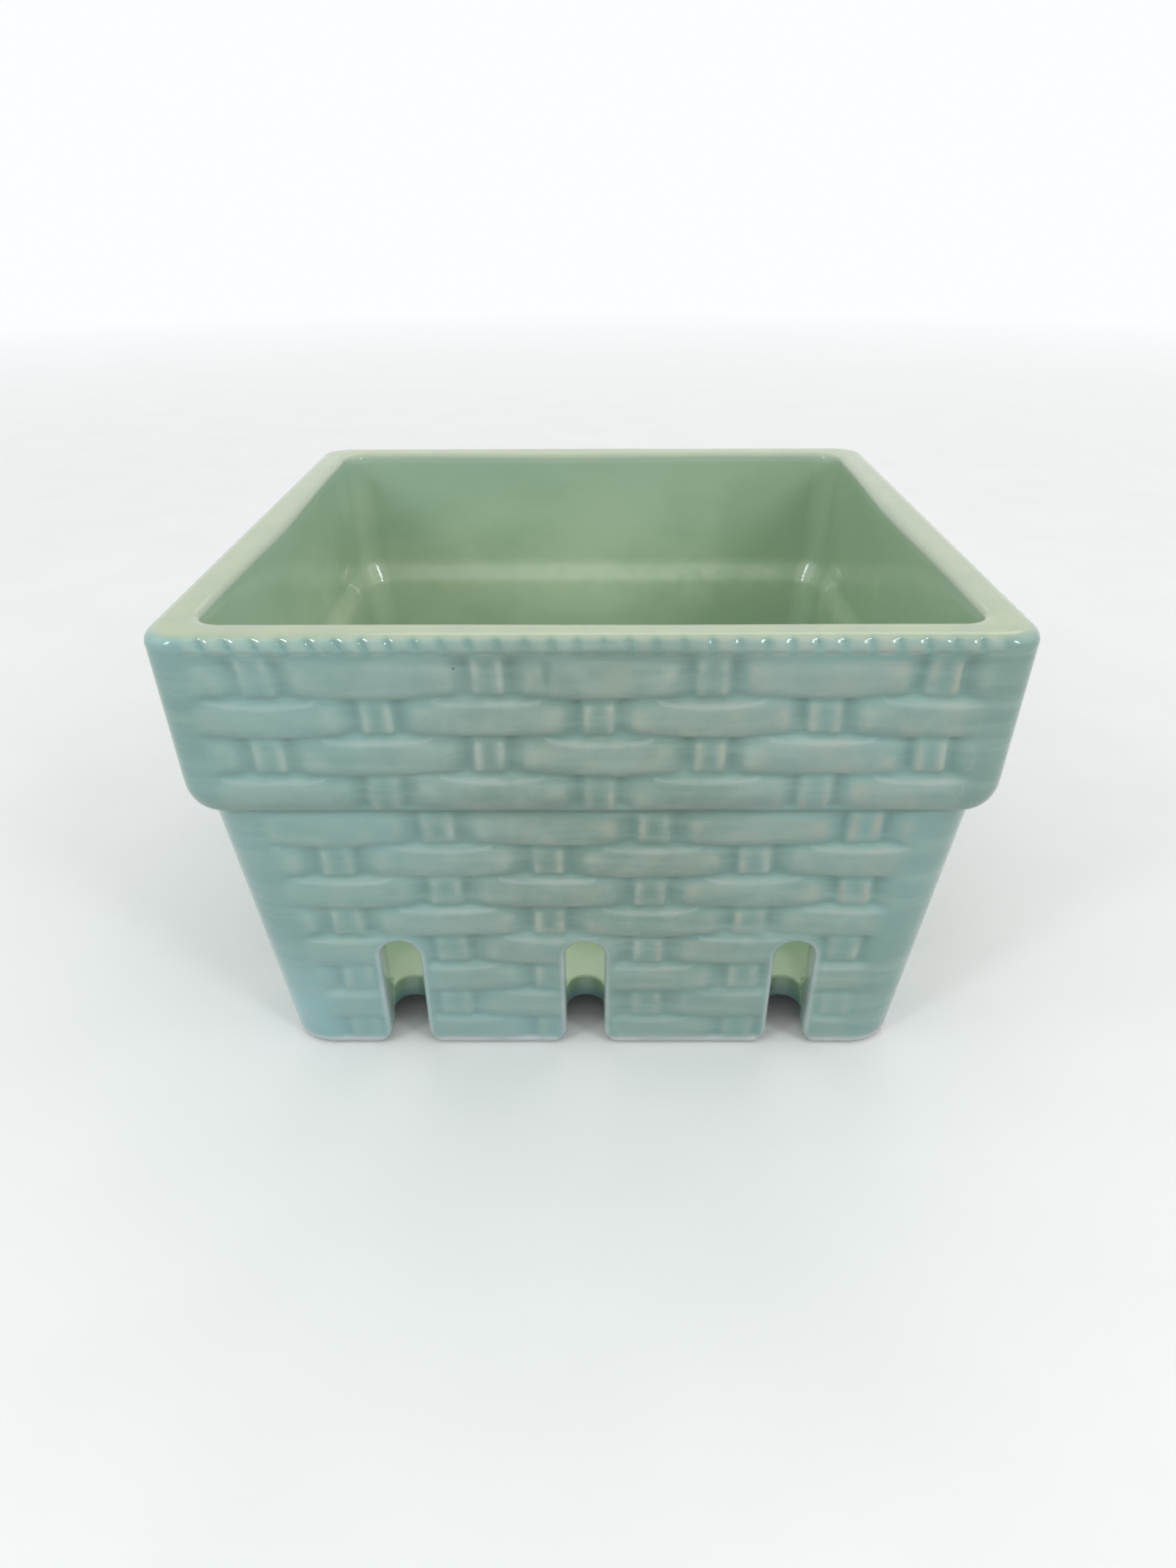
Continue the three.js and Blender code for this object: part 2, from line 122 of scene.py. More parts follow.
@dataclass(frozen=True)
class BoxSizes:
    """Main sizes of the box in millimetres, as its solid regions have them."""

    height: float = 85.4
    rim_width: float = 133.0
    collar_lean: float = 1.6
    collar_step: float = 2.1
    collar_round: float = 5.0
    collar_bottom: float = 54.7
    collar_radius: float = 5.5
    foot_width: float = 113.0
    wall_radius: float = 8.0
    foot_round_width: float = 1.6
    foot_round_height: float = 1.9
    rim_thickness: float = 6.7
    foot_thickness: float = 4.8
    floor_bottom: float = 5.0
    floor_thickness: float = 4.8
    inner_radius: float = 5.5
    floor_fillet: float = 3.0
    inner_step_drop: float = 1.7
    rope_bottom: float = 82.9
    rope_depth: float = 1.9

    @property
    def floor_top(self) -> float:
        """Height of the floor that the contents lie on."""
        return self.floor_bottom + self.floor_thickness

    @property
    def floor_middle(self) -> float:
        """Height half way through the floor."""
        return self.floor_bottom + self.floor_thickness / 2.0

    @property
    def floor_width(self) -> float:
        """Width of the cavity at the floor."""
        return self.foot_width - 2.0 * self.foot_thickness

    @property
    def wall_top_width(self) -> float:
        """Width of the lower wall where the collar steps out over it."""
        return self.rim_width - 2.0 * (self.collar_lean + self.collar_step)

    def wall_half(self, z: Array) -> Array:
        """Half the width over the smooth lower wall, before its foot rounds off."""
        return (self.foot_width + (self.wall_top_width - self.foot_width) * z / self.collar_bottom) / 2.0

    def foot_round(self, z: Array) -> Array:
        """How far the feet's lower edge has rounded in."""
        return self.foot_round_width * quarter_round(z / self.foot_round_height)

    def collar_half(self, z: Array) -> Array:
        """Half the width over the collar, its lower round with it.

        Args:
            z: Heights.

        Returns:
            Half widths.
        """
        rise = z - self.collar_bottom
        lean = self.collar_lean * (1.0 - rise / (self.height - self.collar_bottom))
        return self.rim_width / 2.0 - lean - self.collar_step * quarter_round(rise / self.collar_round)

    def cavity_half(self, z: Array) -> Array:
        """Half the width of the cavity between its flat inner walls.

        Args:
            z: Heights.

        Returns:
            Half widths.
        """
        wall_slope = (self.wall_top_width - self.foot_width) / 2.0 / self.collar_bottom
        low = self.floor_width / 2.0 + wall_slope * np.maximum(0.0, z - self.floor_top)
        collar_slope = self.collar_lean / (self.height - self.collar_bottom)
        high = self.rim_width / 2.0 - self.rim_thickness - collar_slope * (self.height - z)
        return low + (high - low) * smooth(self.inner_step_share(z))

    def inner_step_share(self, z: Array) -> Array:
        """Where each height lies in the soft inner step: 0 at its foot and below, 1 at its top and above."""
        start = self.collar_bottom - self.inner_step_drop
        return np.clip((z - start) / (self.inner_step_drop + self.collar_round), 0.0, 1.0)


@dataclass(frozen=True)
class Weave:
    """Basketweave relief of one side, in millimetres: pillow strands that pass over dished stakes."""

    edges: tuple[float, ...]
    first_stake: float
    relief: float = 1.2
    spacing: float = 34.6
    stake_width: float = 5.6
    stake_gap: float = 0.5
    bulge: float = 0.3
    between: float = 0.4
    stake_height: float = 0.8
    dish: float = 0.22
    ridge: float = 1.95
    tip: float = 3.6
    tip_height: float = 0.5
    ledge_reach: float = 8.4
    ledge_height: float = 0.42
    ledge_drop: float = 0.24
    contour_width: float = 0.09
    crest_drop: float = 0.14
    upper_powers: tuple[float, float] = (2.3, 0.7)
    lower_powers: tuple[float, float] = (2.8, 2.2)
    tip_rise: float = 1.2
    tip_power: float = 0.7
    stake_flank: float = 0.45
    stake_slope: float = 1.5
    stake_power: float = 4.5
    shoulder: float = 0.74
    shoulder_width: float = 0.12
    shoulder_height: float = 0.55
    ridge_width: float = 1.05
    foot_line: float = 0.0
    foot_place: tuple[float, float] = (-0.66, 0.2)
    foot_flank: tuple[float, float] = (0.4, 0.6)
    lean: float = 0.24
    lean_from: float = 64.0
    lean_rise: float = 16.0
    lean_start: float = 6.0
    lean_reach: float = 45.0
    least_lean: float = 0.0
    tilt: float = 0.04
    sway: float = 0.3
    slow_lift: float = 0.024
    quick_lift: float = 0.016
    softness: float = 0.5
    own_share: float = 0.34
    ring_share: float = 0.66
    fade: float = 5.0
    left_fade: float = 3.2
    low_strength: float = 1.0
    low_reach: float = 30.0
    top_calm: float = 0.0
    top_band: float = 1.9
    top_fade: float = 1.7
    left_calm: float = 0.12
    left_start: float = 12.0
    left_reach: float = 30.0
    pads: tuple[tuple[float, float], ...] = ()
    pad_gap_width: float = 0.7
    pad_gap_height: float = 2.8
    pad_gap_depth: float = 0.34
    pool_reach: float = 1.1
    pool_slope: float = 2.0
    pool_level: float = 0.62
    ledge_thin_and_lit: float = 0.36
    bare_shoulder: float = 0.3
    bare_ridge: float = 0.44
    contour_highlight: float = 0.2

    @property
    def pitch(self) -> float:
        """Mean height of a row."""
        return (self.edges[-1] - self.edges[0]) / self.rows

    @property
    def rows(self) -> int:
        """How many rows there are."""
        return len(self.edges) - 1

    def _wander(self, x: Array, z: Array) -> tuple[Array, Array]:
        """The slight unevenness of rows cut by hand, as a shifted place and a level counted in rows.

        Args:
            x: Places along the side.
            z: Heights.

        Returns:
            The shifted places, and the level counted in rows from the bottom.
        """
        level = np.interp(z, self.edges, np.arange(self.rows + 1.0))
        row = np.clip(np.floor(level), 0, self.rows - 1)
        within = (level - row - 0.5) * self.pitch
        left = np.clip((-x - self.lean_start) / self.lean_reach, 0.0, 1.0)
        high = np.clip((z - self.lean_from) / self.lean_rise, self.least_lean, 1.0)
        side = self.lean * left * high * within + self.tilt * within * np.sin(1.7 * row + 0.12 * x)
        side = side + self.sway * np.sin(2.3 * row + 0.9) * np.sin(0.07 * x + 1.9 * row)
        lift = self.slow_lift * np.sin(0.113 * x + 0.7) + self.quick_lift * np.sin(0.29 * x + 1.3 * row)
        return x + side, level + lift

    def _parts(self, x: Array, z: Array) -> dict[str, Array]:
        """The relief at given places, with masks of the parts painted paler: where the glaze runs off, and
        the ledges' painted light and highlight.

        Args:
            x: Places along the side.
            z: Heights.

        Returns:
            The raised share, and shares of ledge, contour, shoulder and stake ridge.
        """
        gaps = self._pad_gaps(x, z)
        x, level = self._wander(x, z)
        half = self.spacing / 2.0
        swing = self.bulge / self.pitch * np.cos(np.pi * (x - self.first_stake) / half)

        def border(number: Array) -> Array:
            """The wavy line between two rows, counted from the bottom."""
            inner = (number > 0) & (number < self.rows)
            return number + np.where(inner, np.where(np.mod(number, 2) < 1, swing, -swing), 0.0)

        row = np.clip(np.floor(level), 0, self.rows - 1)
        row = np.where(level < border(row), row - 1, row)
        row = np.where(level >= border(row + 1), row + 1, row)
        row = np.clip(row, 0, self.rows - 1)
        low, high = border(row), border(row + 1)
        upright = np.clip(2.0 * (level - low) / (high - low) - 1.0, -1.0, 1.0)

        stake_x = self.first_stake + np.mod(row, 2) * half
        aside = np.mod(x - stake_x + half, self.spacing) - half
        along = half - np.abs(aside)
        strand, ledge, contour = self._strand(along, upright, np.where(row < self.rows - 1, 1.0, 0.0))
        reach = half - self.stake_width / 2.0 - self.stake_gap
        tall = np.exp(-((upright / self.shoulder_height) ** 4))
        spot = bell(along / reach, self.shoulder, self.shoulder_width) * tall
        sides = bell(np.abs(aside), self.ridge, self.ridge_width) * (1.0 - np.abs(upright) ** 3)
        past, width = self.foot_flank
        foot = bell(upright, *self.foot_place) * smooth((self.ridge + past - np.abs(aside)) / width)
        raised = np.maximum(strand, self._stake(aside, upright)) - gaps
        ridge = np.maximum(sides, self.foot_line * foot)
        return {"raised": raised, "ledge": ledge, "contour": contour, "shoulder": spot, "ridge": ridge}

    def _strand(self, along: Array, upright: Array, open_above: Array) -> tuple[Array, Array, Array]:
        """Raised share of a strand, with its ledge and the painted highlight line along the ledge's edge.

        Args:
            along: Distances from the strand's middle.
            upright: Places across it, -1 at its lower edge to 1 at its upper one.
            open_above: 1 where another row lies above, 0 at the top row.

        Returns:
            The raised share, the ledge's share and the share of the painted highlight along its edge.
        """
        reach = self.spacing / 2.0 - self.stake_width / 2.0 - self.stake_gap
        tip = np.clip((reach - along) / self.tip, 0.0, 1.0)
        closing = np.sqrt(np.maximum(1.0 - (1.0 - tip) ** 2, 0.0))
        across = np.clip(np.abs(upright) / (self.tip_height + (1.0 - self.tip_height) * closing), 0.0, 1.0)
        middle = np.cos(np.clip(along / reach, 0.0, 1.0) * np.pi / 2.0) ** 2
        above, below = (least + extra * middle for least, extra in (self.upper_powers, self.lower_powers))
        power = np.where(upright > 0.0, above, below)
        crest = 1.0 - self.crest_drop * (along / reach) ** 2
        lens = np.sqrt(np.maximum(1.0 - (along / self.ledge_reach) ** 2, 0.0)) * open_above
        crease = 1.0 - self.ledge_height * lens
        ledge = np.clip((upright - crease) / self.ledge_height, 0.0, 1.0)
        # The ledge's lower edge, where a highlight line is painted.
        contour = bell(upright, crease, self.contour_width) * smooth(lens * 2.5)
        drop = self.ledge_drop * ledge * open_above
        body = self.between + (crest - self.between) * (1.0 - across**power) - drop
        rise = smooth(tip * self.tip_rise) ** self.tip_power
        return rise * body, smooth(ledge * 3.0) * lens, contour

    def _stake(self, aside: Array, upright: Array) -> Array:
        """Raised share of a stake at a distance aside from its middle.

        Args:
            aside: Distances from the stake's middle.
            upright: Places up it, -1 to 1.

        Returns:
            The raised share.
        """
        flank = smooth((self.stake_width / 2.0 + self.stake_flank - np.abs(aside)) / self.stake_slope)
        hollow = np.cos(np.clip(aside / self.ridge, -1.0, 1.0) * np.pi / 2.0) ** 2
        top = self.stake_height * (1.0 - self.dish * hollow)
        return flank * (self.between + (top - self.between) * (1.0 - np.abs(upright) ** self.stake_power))

    def _pad_gaps(self, x: Array, z: Array) -> Array:
        """Upright gaps that part a strand's end from the rest of it, as a small pad.

        Args:
            x: Places along the side.
            z: Heights.

        Returns:
            How deep the gaps are cut.
        """
        cut = np.zeros_like(x)
        for gap_x, gap_z in self.pads:
            near = np.hypot((x - gap_x) / self.pad_gap_width, (z - gap_z) / self.pad_gap_height)
            cut = np.maximum(cut, self.pad_gap_depth * np.exp(-(near**2)))
        return cut

    def _around(self, x: Array, z: Array, radius: float) -> Array:
        """Mean raised share on a ring about each place.

        Args:
            x: Places along the side.
            z: Heights.
            radius: Radius of the ring.

        Returns:
            The mean shares.
        """
        turns = [number * math.pi / 4.0 for number in range(8)]
        ring = [self._parts(x + radius * math.cos(a), z + radius * math.sin(a))["raised"] for a in turns]
        return sum(ring) / len(ring)

    def _softened(self, x: Array, z: Array) -> Array:
        """Raised share under the glaze, which rounds every edge off."""
        own = self._parts(x, z)["raised"]
        return self.own_share * own + self.ring_share * self._around(x, z, self.softness)

    def strength(self, x: Array, z: Array, reach: Array) -> Array:
        """How much of the relief shows: none on the smooth corners, less near the table.

        Args:
            x: Places along the side.
            z: Heights.
            reach: Where the corner starts at each height.

        Returns:
            The shares.
        """
        height = smooth((z - self.edges[0]) / self.low_reach)
        upward = self.low_strength + (1.0 - self.low_strength) * height
        top = 1.0 - self.top_calm * smooth((z - self.edges[-1] + self.top_band) / self.top_fade)
        left = 1.0 - self.left_calm * smooth((-x - self.left_start) / self.left_reach)
        fade = np.where(x < 0.0, self.left_fade, self.fade)
        return smooth((reach - np.abs(x)) / fade) * upward * top * left

    def depth(self, x: Array, z: Array, reach: Array) -> Array:
        """How far the surface lies in from the smooth side."""
        return self.relief * self.strength(x, z, reach) * (1.0 - self._softened(x, z))

    def tones(self, x: Array, z: Array, reach: Array) -> dict[Tone, Array]:
        """Where glaze gathers in grooves, above 0, or has run off raised edges, below 0; the pale upward
        ledges are partly painted light.

        Args:
            x: Places along the side.
            z: Heights.
            reach: Where the corner starts at each height.

        Returns:
            The pool, about -1 to 1, and the painted highlight along the ledges.
        """
        parts = self._parts(x, z)
        strength = self.strength(x, z, reach)
        soft = self._softened(x, z)
        hollow = self._around(x, z, self.pool_reach) - soft
        gathered = self.pool_slope * hollow + (self.pool_level - soft)
        # Pale ledges: glaze run thin there, and painted light on their upward faces.
        bare = self.ledge_thin_and_lit * parts["ledge"] + self.bare_shoulder * parts["shoulder"]
        bare = bare + self.bare_ridge * parts["ridge"]
        # Painted highlight along the ledges' edges.
        edge = self.contour_highlight * parts["contour"] * strength
        return {Tone.POOL: (gathered - bare) * strength, Tone.EDGE: edge}


@dataclass(frozen=True)
class SlotSizes:
    """Arched drain slots of one side, in millimetres."""

    middles: tuple[float, ...] = (-34.0, -1.2, 36.0)
    width: float = 7.0
    height: float = 25.8
    lip: float = 3.7
    outer_round: float = 1.0
    inner_round: float = 0.7
    margin: float = 8.0

    @property
    def spring(self) -> float:
        """Height at which the arch springs."""
        return self.height - self.width / 2.0

    @property
    def window_top(self) -> float:
        """Top of the window of surface that is laid round each slot."""
        return self.spring + self.margin

    def window(self, middle: float) -> tuple[float, float]:
        """Left and right edge of the window round the slot at a middle."""
        return middle - self.margin, middle + self.margin

    def offset(self, x: Array, z: Array) -> Array:
        """Distance from the nearest slot's outline into the wall.

        Args:
            x: Places along the side.
            z: Heights.

        Returns:
            The distances, at least 0.
        """
        found = np.full(np.broadcast(x, z).shape, 1e3)
        half = self.width / 2.0
        for middle in self.middles:
            away = np.abs(x - middle)
            arch = np.hypot(away, z - self.spring) - half
            foot = self.lip - np.hypot(away - half - self.lip, z - self.lip)
            in_lip = (z < self.lip) & (away < half + self.lip)
            beside = np.where(in_lip, foot, away - half)
            found = np.minimum(found, np.where(z > self.spring, arch, beside))
        return np.maximum(found, 0.0)

    def half_opening(self, z: Array) -> Array:
        """Half the slot's width below its arch, flared at the feet's round corners."""
        drop = np.clip(self.lip - z, 0.0, self.lip)
        return self.width / 2.0 + self.lip - np.sqrt(np.maximum(self.lip**2 - drop**2, 0.0))


def inner_step_thin_and_lit(sizes: BoxSizes, x: Array, z: Array) -> Array:
    """How pale the soft inner step is painted, unevenly along the side: glaze run thin there, and painted
    light on its upward slope.
    """
    uneven = 1.0 - 0.3 * np.sin(x / 22.0) + 0.18 * np.sin(x / 5.1 + 0.8)
    return 0.25 * uneven * bell(z - sizes.collar_bottom, 0.2, 4.3)


# Meshes laid as sheets


@dataclass
class Patch:
    """A rectangle of surface points in millimetres, with the glaze's tones at each of them."""

    points: Array
    tones: dict[Tone, Array] = field(default_factory=dict)


def flipped(patch: Patch) -> Patch:
    """The same patch, facing the other way.

    Args:
        patch: The patch.

    Returns:
        The flipped copy.
    """
    shape = patch.points.shape[:2]
    tones = {tone: np.broadcast_to(value, shape)[:, ::-1] for tone, value in patch.tones.items()}
    return Patch(patch.points[:, ::-1], tones)


def deselect() -> None:
    """Leaves nothing selected."""
    bpy.ops.object.select_all(action="DESELECT")


def pick(pieces: list[bpy.types.Object]) -> None:
    """Leaves only some pieces selected, the first of them active.

    Args:
        pieces: The pieces.
    """
    deselect()
    for piece in pieces:
        piece.select_set(True)
    bpy.context.view_layer.objects.active = pieces[0]


def keep_tones(mesh: bpy.types.Mesh, tones: dict[Tone, Array], shape: tuple[int, ...]) -> None:
    """Keeps the glaze's tones at the points of a mesh.

    Args:
        mesh: The mesh.
        tones: The tones that are not 0 everywhere.
        shape: How the points are laid out in each tone.
    """
    for tone in Tone:
        values = np.broadcast_to(tones.get(tone, 0.0), shape)
        attribute = mesh.attributes.new(tone.value, "FLOAT", "POINT")
        attribute.data.foreach_set("value", values.astype(np.float32).ravel())


def lay(patch: Patch) -> bpy.types.Object:
    """Adds a grid and moves its points to those of a patch.

    Args:
        patch: Points and tones, by row and column.

    Returns:
        The new sheet.
    """
    rows, columns = (count - 1 for count in patch.points.shape[:2])
    deselect()
    bpy.ops.mesh.primitive_grid_add(x_subdivisions=columns, y_subdivisions=rows, size=1.0)
    sheet = bpy.context.object
    mesh = sheet.data
    mesh.vertices.foreach_set("co", (patch.points * MM).astype(np.float32).ravel())
    keep_tones(mesh, patch.tones, patch.points.shape[:2])
    mesh.update()
    return sheet


def unite(sheets: list[bpy.types.Object], name: str) -> bpy.types.Object:
    """Joins sheets into one piece and merges the points that they share.

    Args:
        sheets: The sheets, of which the first takes in the rest.
        name: Name of the piece.

    Returns:
        The piece.
    """
    pick(sheets)
    if len(sheets) > 1:
        bpy.ops.object.join()
    piece = bpy.context.object
    piece.name = piece.data.name = name
    bpy.ops.object.mode_set(mode="EDIT")
    bpy.ops.mesh.select_all(action="SELECT")
    bpy.ops.mesh.remove_doubles(threshold=TOUCH)
    bpy.ops.mesh.faces_shade_smooth()
    bpy.ops.object.mode_set(mode="OBJECT")
    return piece


def close_mitres(piece: bpy.types.Object) -> None:
    """Fills the two flat ends that a side's piece has on the mitre planes.

    Args:
        piece: A side's piece, open at both ends.
    """
    pick([piece])
    bpy.ops.object.mode_set(mode="EDIT")
    bpy.ops.mesh.select_all(action="SELECT")
    bpy.ops.mesh.fill_holes(sides=0)
    bpy.ops.object.mode_set(mode="OBJECT")


def vectors(items: bpy.types.bpy_prop_collection, key: str) -> Array:
    """One vector of every item of a mesh.

    Args:
        items: The mesh's vertices or their normals.
        key: Name of the vector.

    Returns:
        The vectors, one row each.
    """
    flat = np.empty(len(items) * 3, np.float32)
    items.foreach_get(key, flat)
    return flat.reshape(-1, 3)


def square_to_mitre(points: Array, normals: Array) -> Array:
    """Turns the normals on the two mitre planes into those planes, so that neighbours shade alike.

    Args:
        points: Points of the front side.
        normals: Their normals.

    Returns:
        The mended normals, of unit length.
    """
    mended = normals.astype(float).copy()
    for sign in (-1.0, 1.0):
        plane = np.array([1.0, sign, 0.0]) / math.sqrt(2.0)
        on_plane = np.abs(points @ plane) < TOUCH
        mended[on_plane] -= np.outer(mended[on_plane] @ plane, plane)
    return mended / np.maximum(np.linalg.norm(mended, axis=1, keepdims=True), 1e-9)


def slope_alike(points: Array, normals: Array, sizes: BoxSizes) -> None:
    """Slopes the cavity's normals alike above and below the seam under the collar.

    Args:
        points: Points of the front side, in metres.
        normals: Their unit normals, which are mended in place.
        sizes: Sizes of the box.
    """
    near = sizes.collar_bottom + np.array([-SEAM_REACH, SEAM_REACH])
    slope = float(np.diff(sizes.cavity_half(near))[0]) / (2.0 * SEAM_REACH)
    inward = np.sum(points[:, :2] * normals[:, :2], axis=1) < 0.0
    seam = inward & (np.abs(points[:, 2] - sizes.collar_bottom * MM) < TOUCH)
    level = normals[seam, :2] / np.linalg.norm(normals[seam, :2], axis=1, keepdims=True)
    tilted = np.concatenate([level, np.full((len(level), 1), slope)], axis=1)
    normals[seam] = tilted / math.hypot(1.0, slope)


def give_normals(piece: bpy.types.Object, points: Array, normals: Array) -> None:
    """Gives each point of a piece the normal of the skin at that place.

    Args:
        piece: The piece to shade.
        points: Places on the skin, in metres.
        normals: The skin's normals there.
    """
    tree = KDTree(len(points))
    for index, point in enumerate(points):
        tree.insert(point, index)
    tree.balance()
    mesh = piece.data
    own = vectors(mesh.vertex_normals, "vector")
    for index, point in enumerate(vectors(mesh.vertices, "co")):
        _, found, distance = tree.find(point)
        if distance < 2.0 * TOUCH:
            own[index] = normals[found]
    mesh.normals_split_custom_set_from_vertices(own.tolist())


def turned_copy(piece: bpy.types.Object, side: Side, name: str) -> bpy.types.Object:
    """Copies a front piece round to another side, turned in its mesh.

    Args:
        piece: The front's piece.
        side: Where the copy goes.
        name: Name of the copy.

    Returns:
        The copy.
    """
    pick([piece])
    bpy.ops.object.duplicate()
    copy = bpy.context.object
    copy.name = copy.data.name = name
    cosine, sine = ((1, 0), (0, 1), (-1, 0), (0, -1))[side.value]
    copy.data.transform(Matrix(((cosine, -sine, 0, 0), (sine, cosine, 0, 0), (0, 0, 1, 0), (0, 0, 0, 1))))
    return copy


@dataclass(frozen=True)
class Columns:
    """Upright grid lines of a side, from its left mitre to its right one."""

    fixed: Array
    stretch: Array
    turn: Array
    core: float

    @staticmethod
    def across(breaks: tuple[float, ...], step: float, reach: float, corner_steps: int) -> Columns:
        """Lines at fixed places between the breaks, and at shares of what lies past them.

        Args:
            breaks: Places that get a line, in rising order and even about the middle.
            step: Widest gap between lines.
            reach: Where the corner starts at the widest height.
            corner_steps: Lines in half a corner.

        Returns:
            The columns.
        """
        core = breaks[-1]
        inner = np.concatenate([spaced(a, b, step) for a, b in zip(breaks, breaks[1:])] + [[core]])
        outer = spaced(1.0, 0.0, step / max(reach - core, step))
        turns = np.linspace(math.pi / 4.0, 0.0, corner_steps, endpoint=False)
        past = [core] * (corner_steps + len(outer))
        fixed = np.concatenate([-np.array(past), inner, past])
        corner = np.ones(corner_steps)
        stretch = np.concatenate([-corner, -outer, np.zeros(len(inner)), outer[::-1], corner])
        turn = np.concatenate([-turns, np.zeros(len(outer) * 2 + len(inner)), turns[::-1]])
        return Columns(fixed, stretch, turn, core)

    def take(self, start: int, stop: int) -> Columns:
        """The columns from one index to another, both with it."""
        cut = slice(start, stop + 1)
        return Columns(self.fixed[cut], self.stretch[cut], self.turn[cut], self.core)

    def place(self, half: Array, radius: float) -> tuple[Array, Array]:
        """Where each line stands at each height.

        Args:
            half: Half width of the rounded square at each height.
            radius: Its corner radius.

        Returns:
            Places along x and along y, by row and column.
        """
        straight = half[:, None] - radius
        x = self.fixed + self.stretch * (straight - self.core) + radius * np.sin(self.turn)
        y = -(straight + radius * np.cos(self.turn))
        return x, y


# The lower wall and its feet


@dataclass
class LowerWall:
    """One side from the table to the collar: woven outside, plain inside, with three slots through it."""

    sizes: BoxSizes
    slots: SlotSizes = SlotSizes()
    weave: Weave = Weave(
        edges=(0.6, 7.4, 14.1, 20.6, 27.2, 33.8, 40.5, 47.2, 53.9),
        first_stake=-7.4,
        relief=1.0,
        stake_width=6.0,
        ridge=2.13,
        tip=4.8,
        tip_height=0.4,
        softness=0.55,
        foot_line=0.55,
        least_lean=0.2,
        low_strength=0.5,
    )
    step: float = 0.34
    corner_steps: int = 10
    core: float = 44.0
    calm_start: float = 0.2
    calm_width: float = 2.2
    table_calm: float = 2.5
    cut_edge: float = 0.42
    cut_place: tuple[float, float] = (0.42, 0.45)
    foot_place: tuple[float, float] = (1.15, 0.85)
    fillet_place: tuple[float, float] = (3.2, 1.3)
    fillet_pool: float = 0.35
    inner_edge: float = 0.4
    inner_edge_width: float = 0.5
    foot_rows: tuple[float, ...] = (0.0, 0.04, 0.12, 0.25, 0.42, 0.65, 0.95, 1.25, 1.55)
    floor_rises: tuple[float, ...] = (-0.7, -0.12, 0.0, 0.02, 0.07, 0.15, 0.28, 0.45, 0.68)
    fillet_row: float = 0.95
    buried_share: float = 1.3
    plain_step: float = 4.0
    inner_step: float = 0.4
    inner_lead: float = 0.6
    through: tuple[float, ...] = (0.0, 0.12, 0.3, 0.5, 0.7, 0.88, 1.0)
    away: tuple[float, ...] = (0.0, 0.02, 0.05, 0.09, 0.14, 0.2, 0.27, 0.36, 0.46, 0.57, 0.68, 0.79, 0.9, 1.0)

    def __post_init__(self) -> None:
        """Lays out the grid lines."""
        slots = self.slots
        edges = [edge for middle in slots.middles for edge in slots.window(middle)]
        breaks = tuple(sorted({-self.core, *edges, self.core}))
        reach = self.sizes.wall_top_width / 2.0 - self.sizes.wall_radius
        self.columns = Columns.across(breaks, self.step, reach, self.corner_steps)
        base, tip = self.sizes.floor_top, self.sizes.floor_top + self.sizes.floor_fillet
        at_floor = base + np.array(self.floor_rises)
        beside = np.concatenate(
            [
                spaced(self.sizes.foot_round_height, at_floor[0], self.step),
                at_floor,
                spaced(base + self.fillet_row, tip, self.step),
                spaced(tip, slots.spring, self.step),
            ],
        )
        above = spaced(slots.spring, slots.window_top, self.step)
        self.low_rows = np.concatenate([self.foot_rows, beside, above, [slots.window_top]])
        top = self.sizes.collar_bottom
        self.outer_rows = np.concatenate([spaced(slots.window_top, top, self.step), [top]])
        step_start = top - self.sizes.inner_step_drop - self.inner_lead
        plain = spaced(slots.window_top, step_start, self.plain_step)
        self.inner_rows = np.concatenate([plain, spaced(step_start, top, self.inner_step), [top]])

    def _index(self, x: float) -> int:
        """Index of the straight column at a fixed place."""
        straight = (self.columns.stretch == 0.0) & (self.columns.turn == 0.0)
        return int(np.argmin(np.where(straight, np.abs(self.columns.fixed - x), 1e3)))

    def _outer_y(self, x: Array, z: Array) -> Array:
        """Places of the woven surface along y, on the flat of the side.

        Args:
            x: Places along the side.
            z: Heights.

        Returns:
            The places along y.
        """
        sizes, slots = self.sizes, self.slots
        away = slots.offset(x, z)
        edge = slots.outer_round * quarter_round(away / slots.outer_round)
        half = sizes.wall_half(z) - np.hypot(sizes.foot_round(z), edge)
        return -half + self._relief(x, z, away)

    def _relief(self, x: Array, z: Array, away: Array) -> Array:
        """Depth of the weave, calmed beside the slots and at the table."""
        reach = self.sizes.wall_half(z) - self.sizes.wall_radius
        return self.weave.depth(x, z, reach) * (self._calm(away) * smooth(z / self.table_calm))

    def _calm(self, away: Array) -> Array:
        """How much of the weave shows at a distance from the slots."""
        return smooth((away - self.calm_start) / self.calm_width)

    def _inner_half(self, z: Array) -> Array:
        """Half width of the cavity, with the fillet that runs into the floor.

        Args:
            z: Heights.

        Returns:
            Half widths.
        """
        fillet, base = self.sizes.floor_fillet, self.sizes.floor_top
        above = fillet * quarter_round((z - base) / fillet)
        low, high = base + self.floor_rises[0], base + self.floor_rises[1]
        buried = np.interp(z, (low, high, base), (0.0, self.buried_share * fillet, fillet))
        return self.sizes.cavity_half(z) - np.where(z >= base, above, buried)

    def _inner_y(self, x: Array, z: Array) -> Array:
        """Places of the cavity's surface along y, on the flat of the side.

        Args:
            x: Places along the side.
            z: Heights.

        Returns:
            The places along y.
        """
        slots = self.slots
        edge = slots.inner_round * quarter_round(slots.offset(x, z) / slots.inner_round)
        return -(self._inner_half(z) + edge)

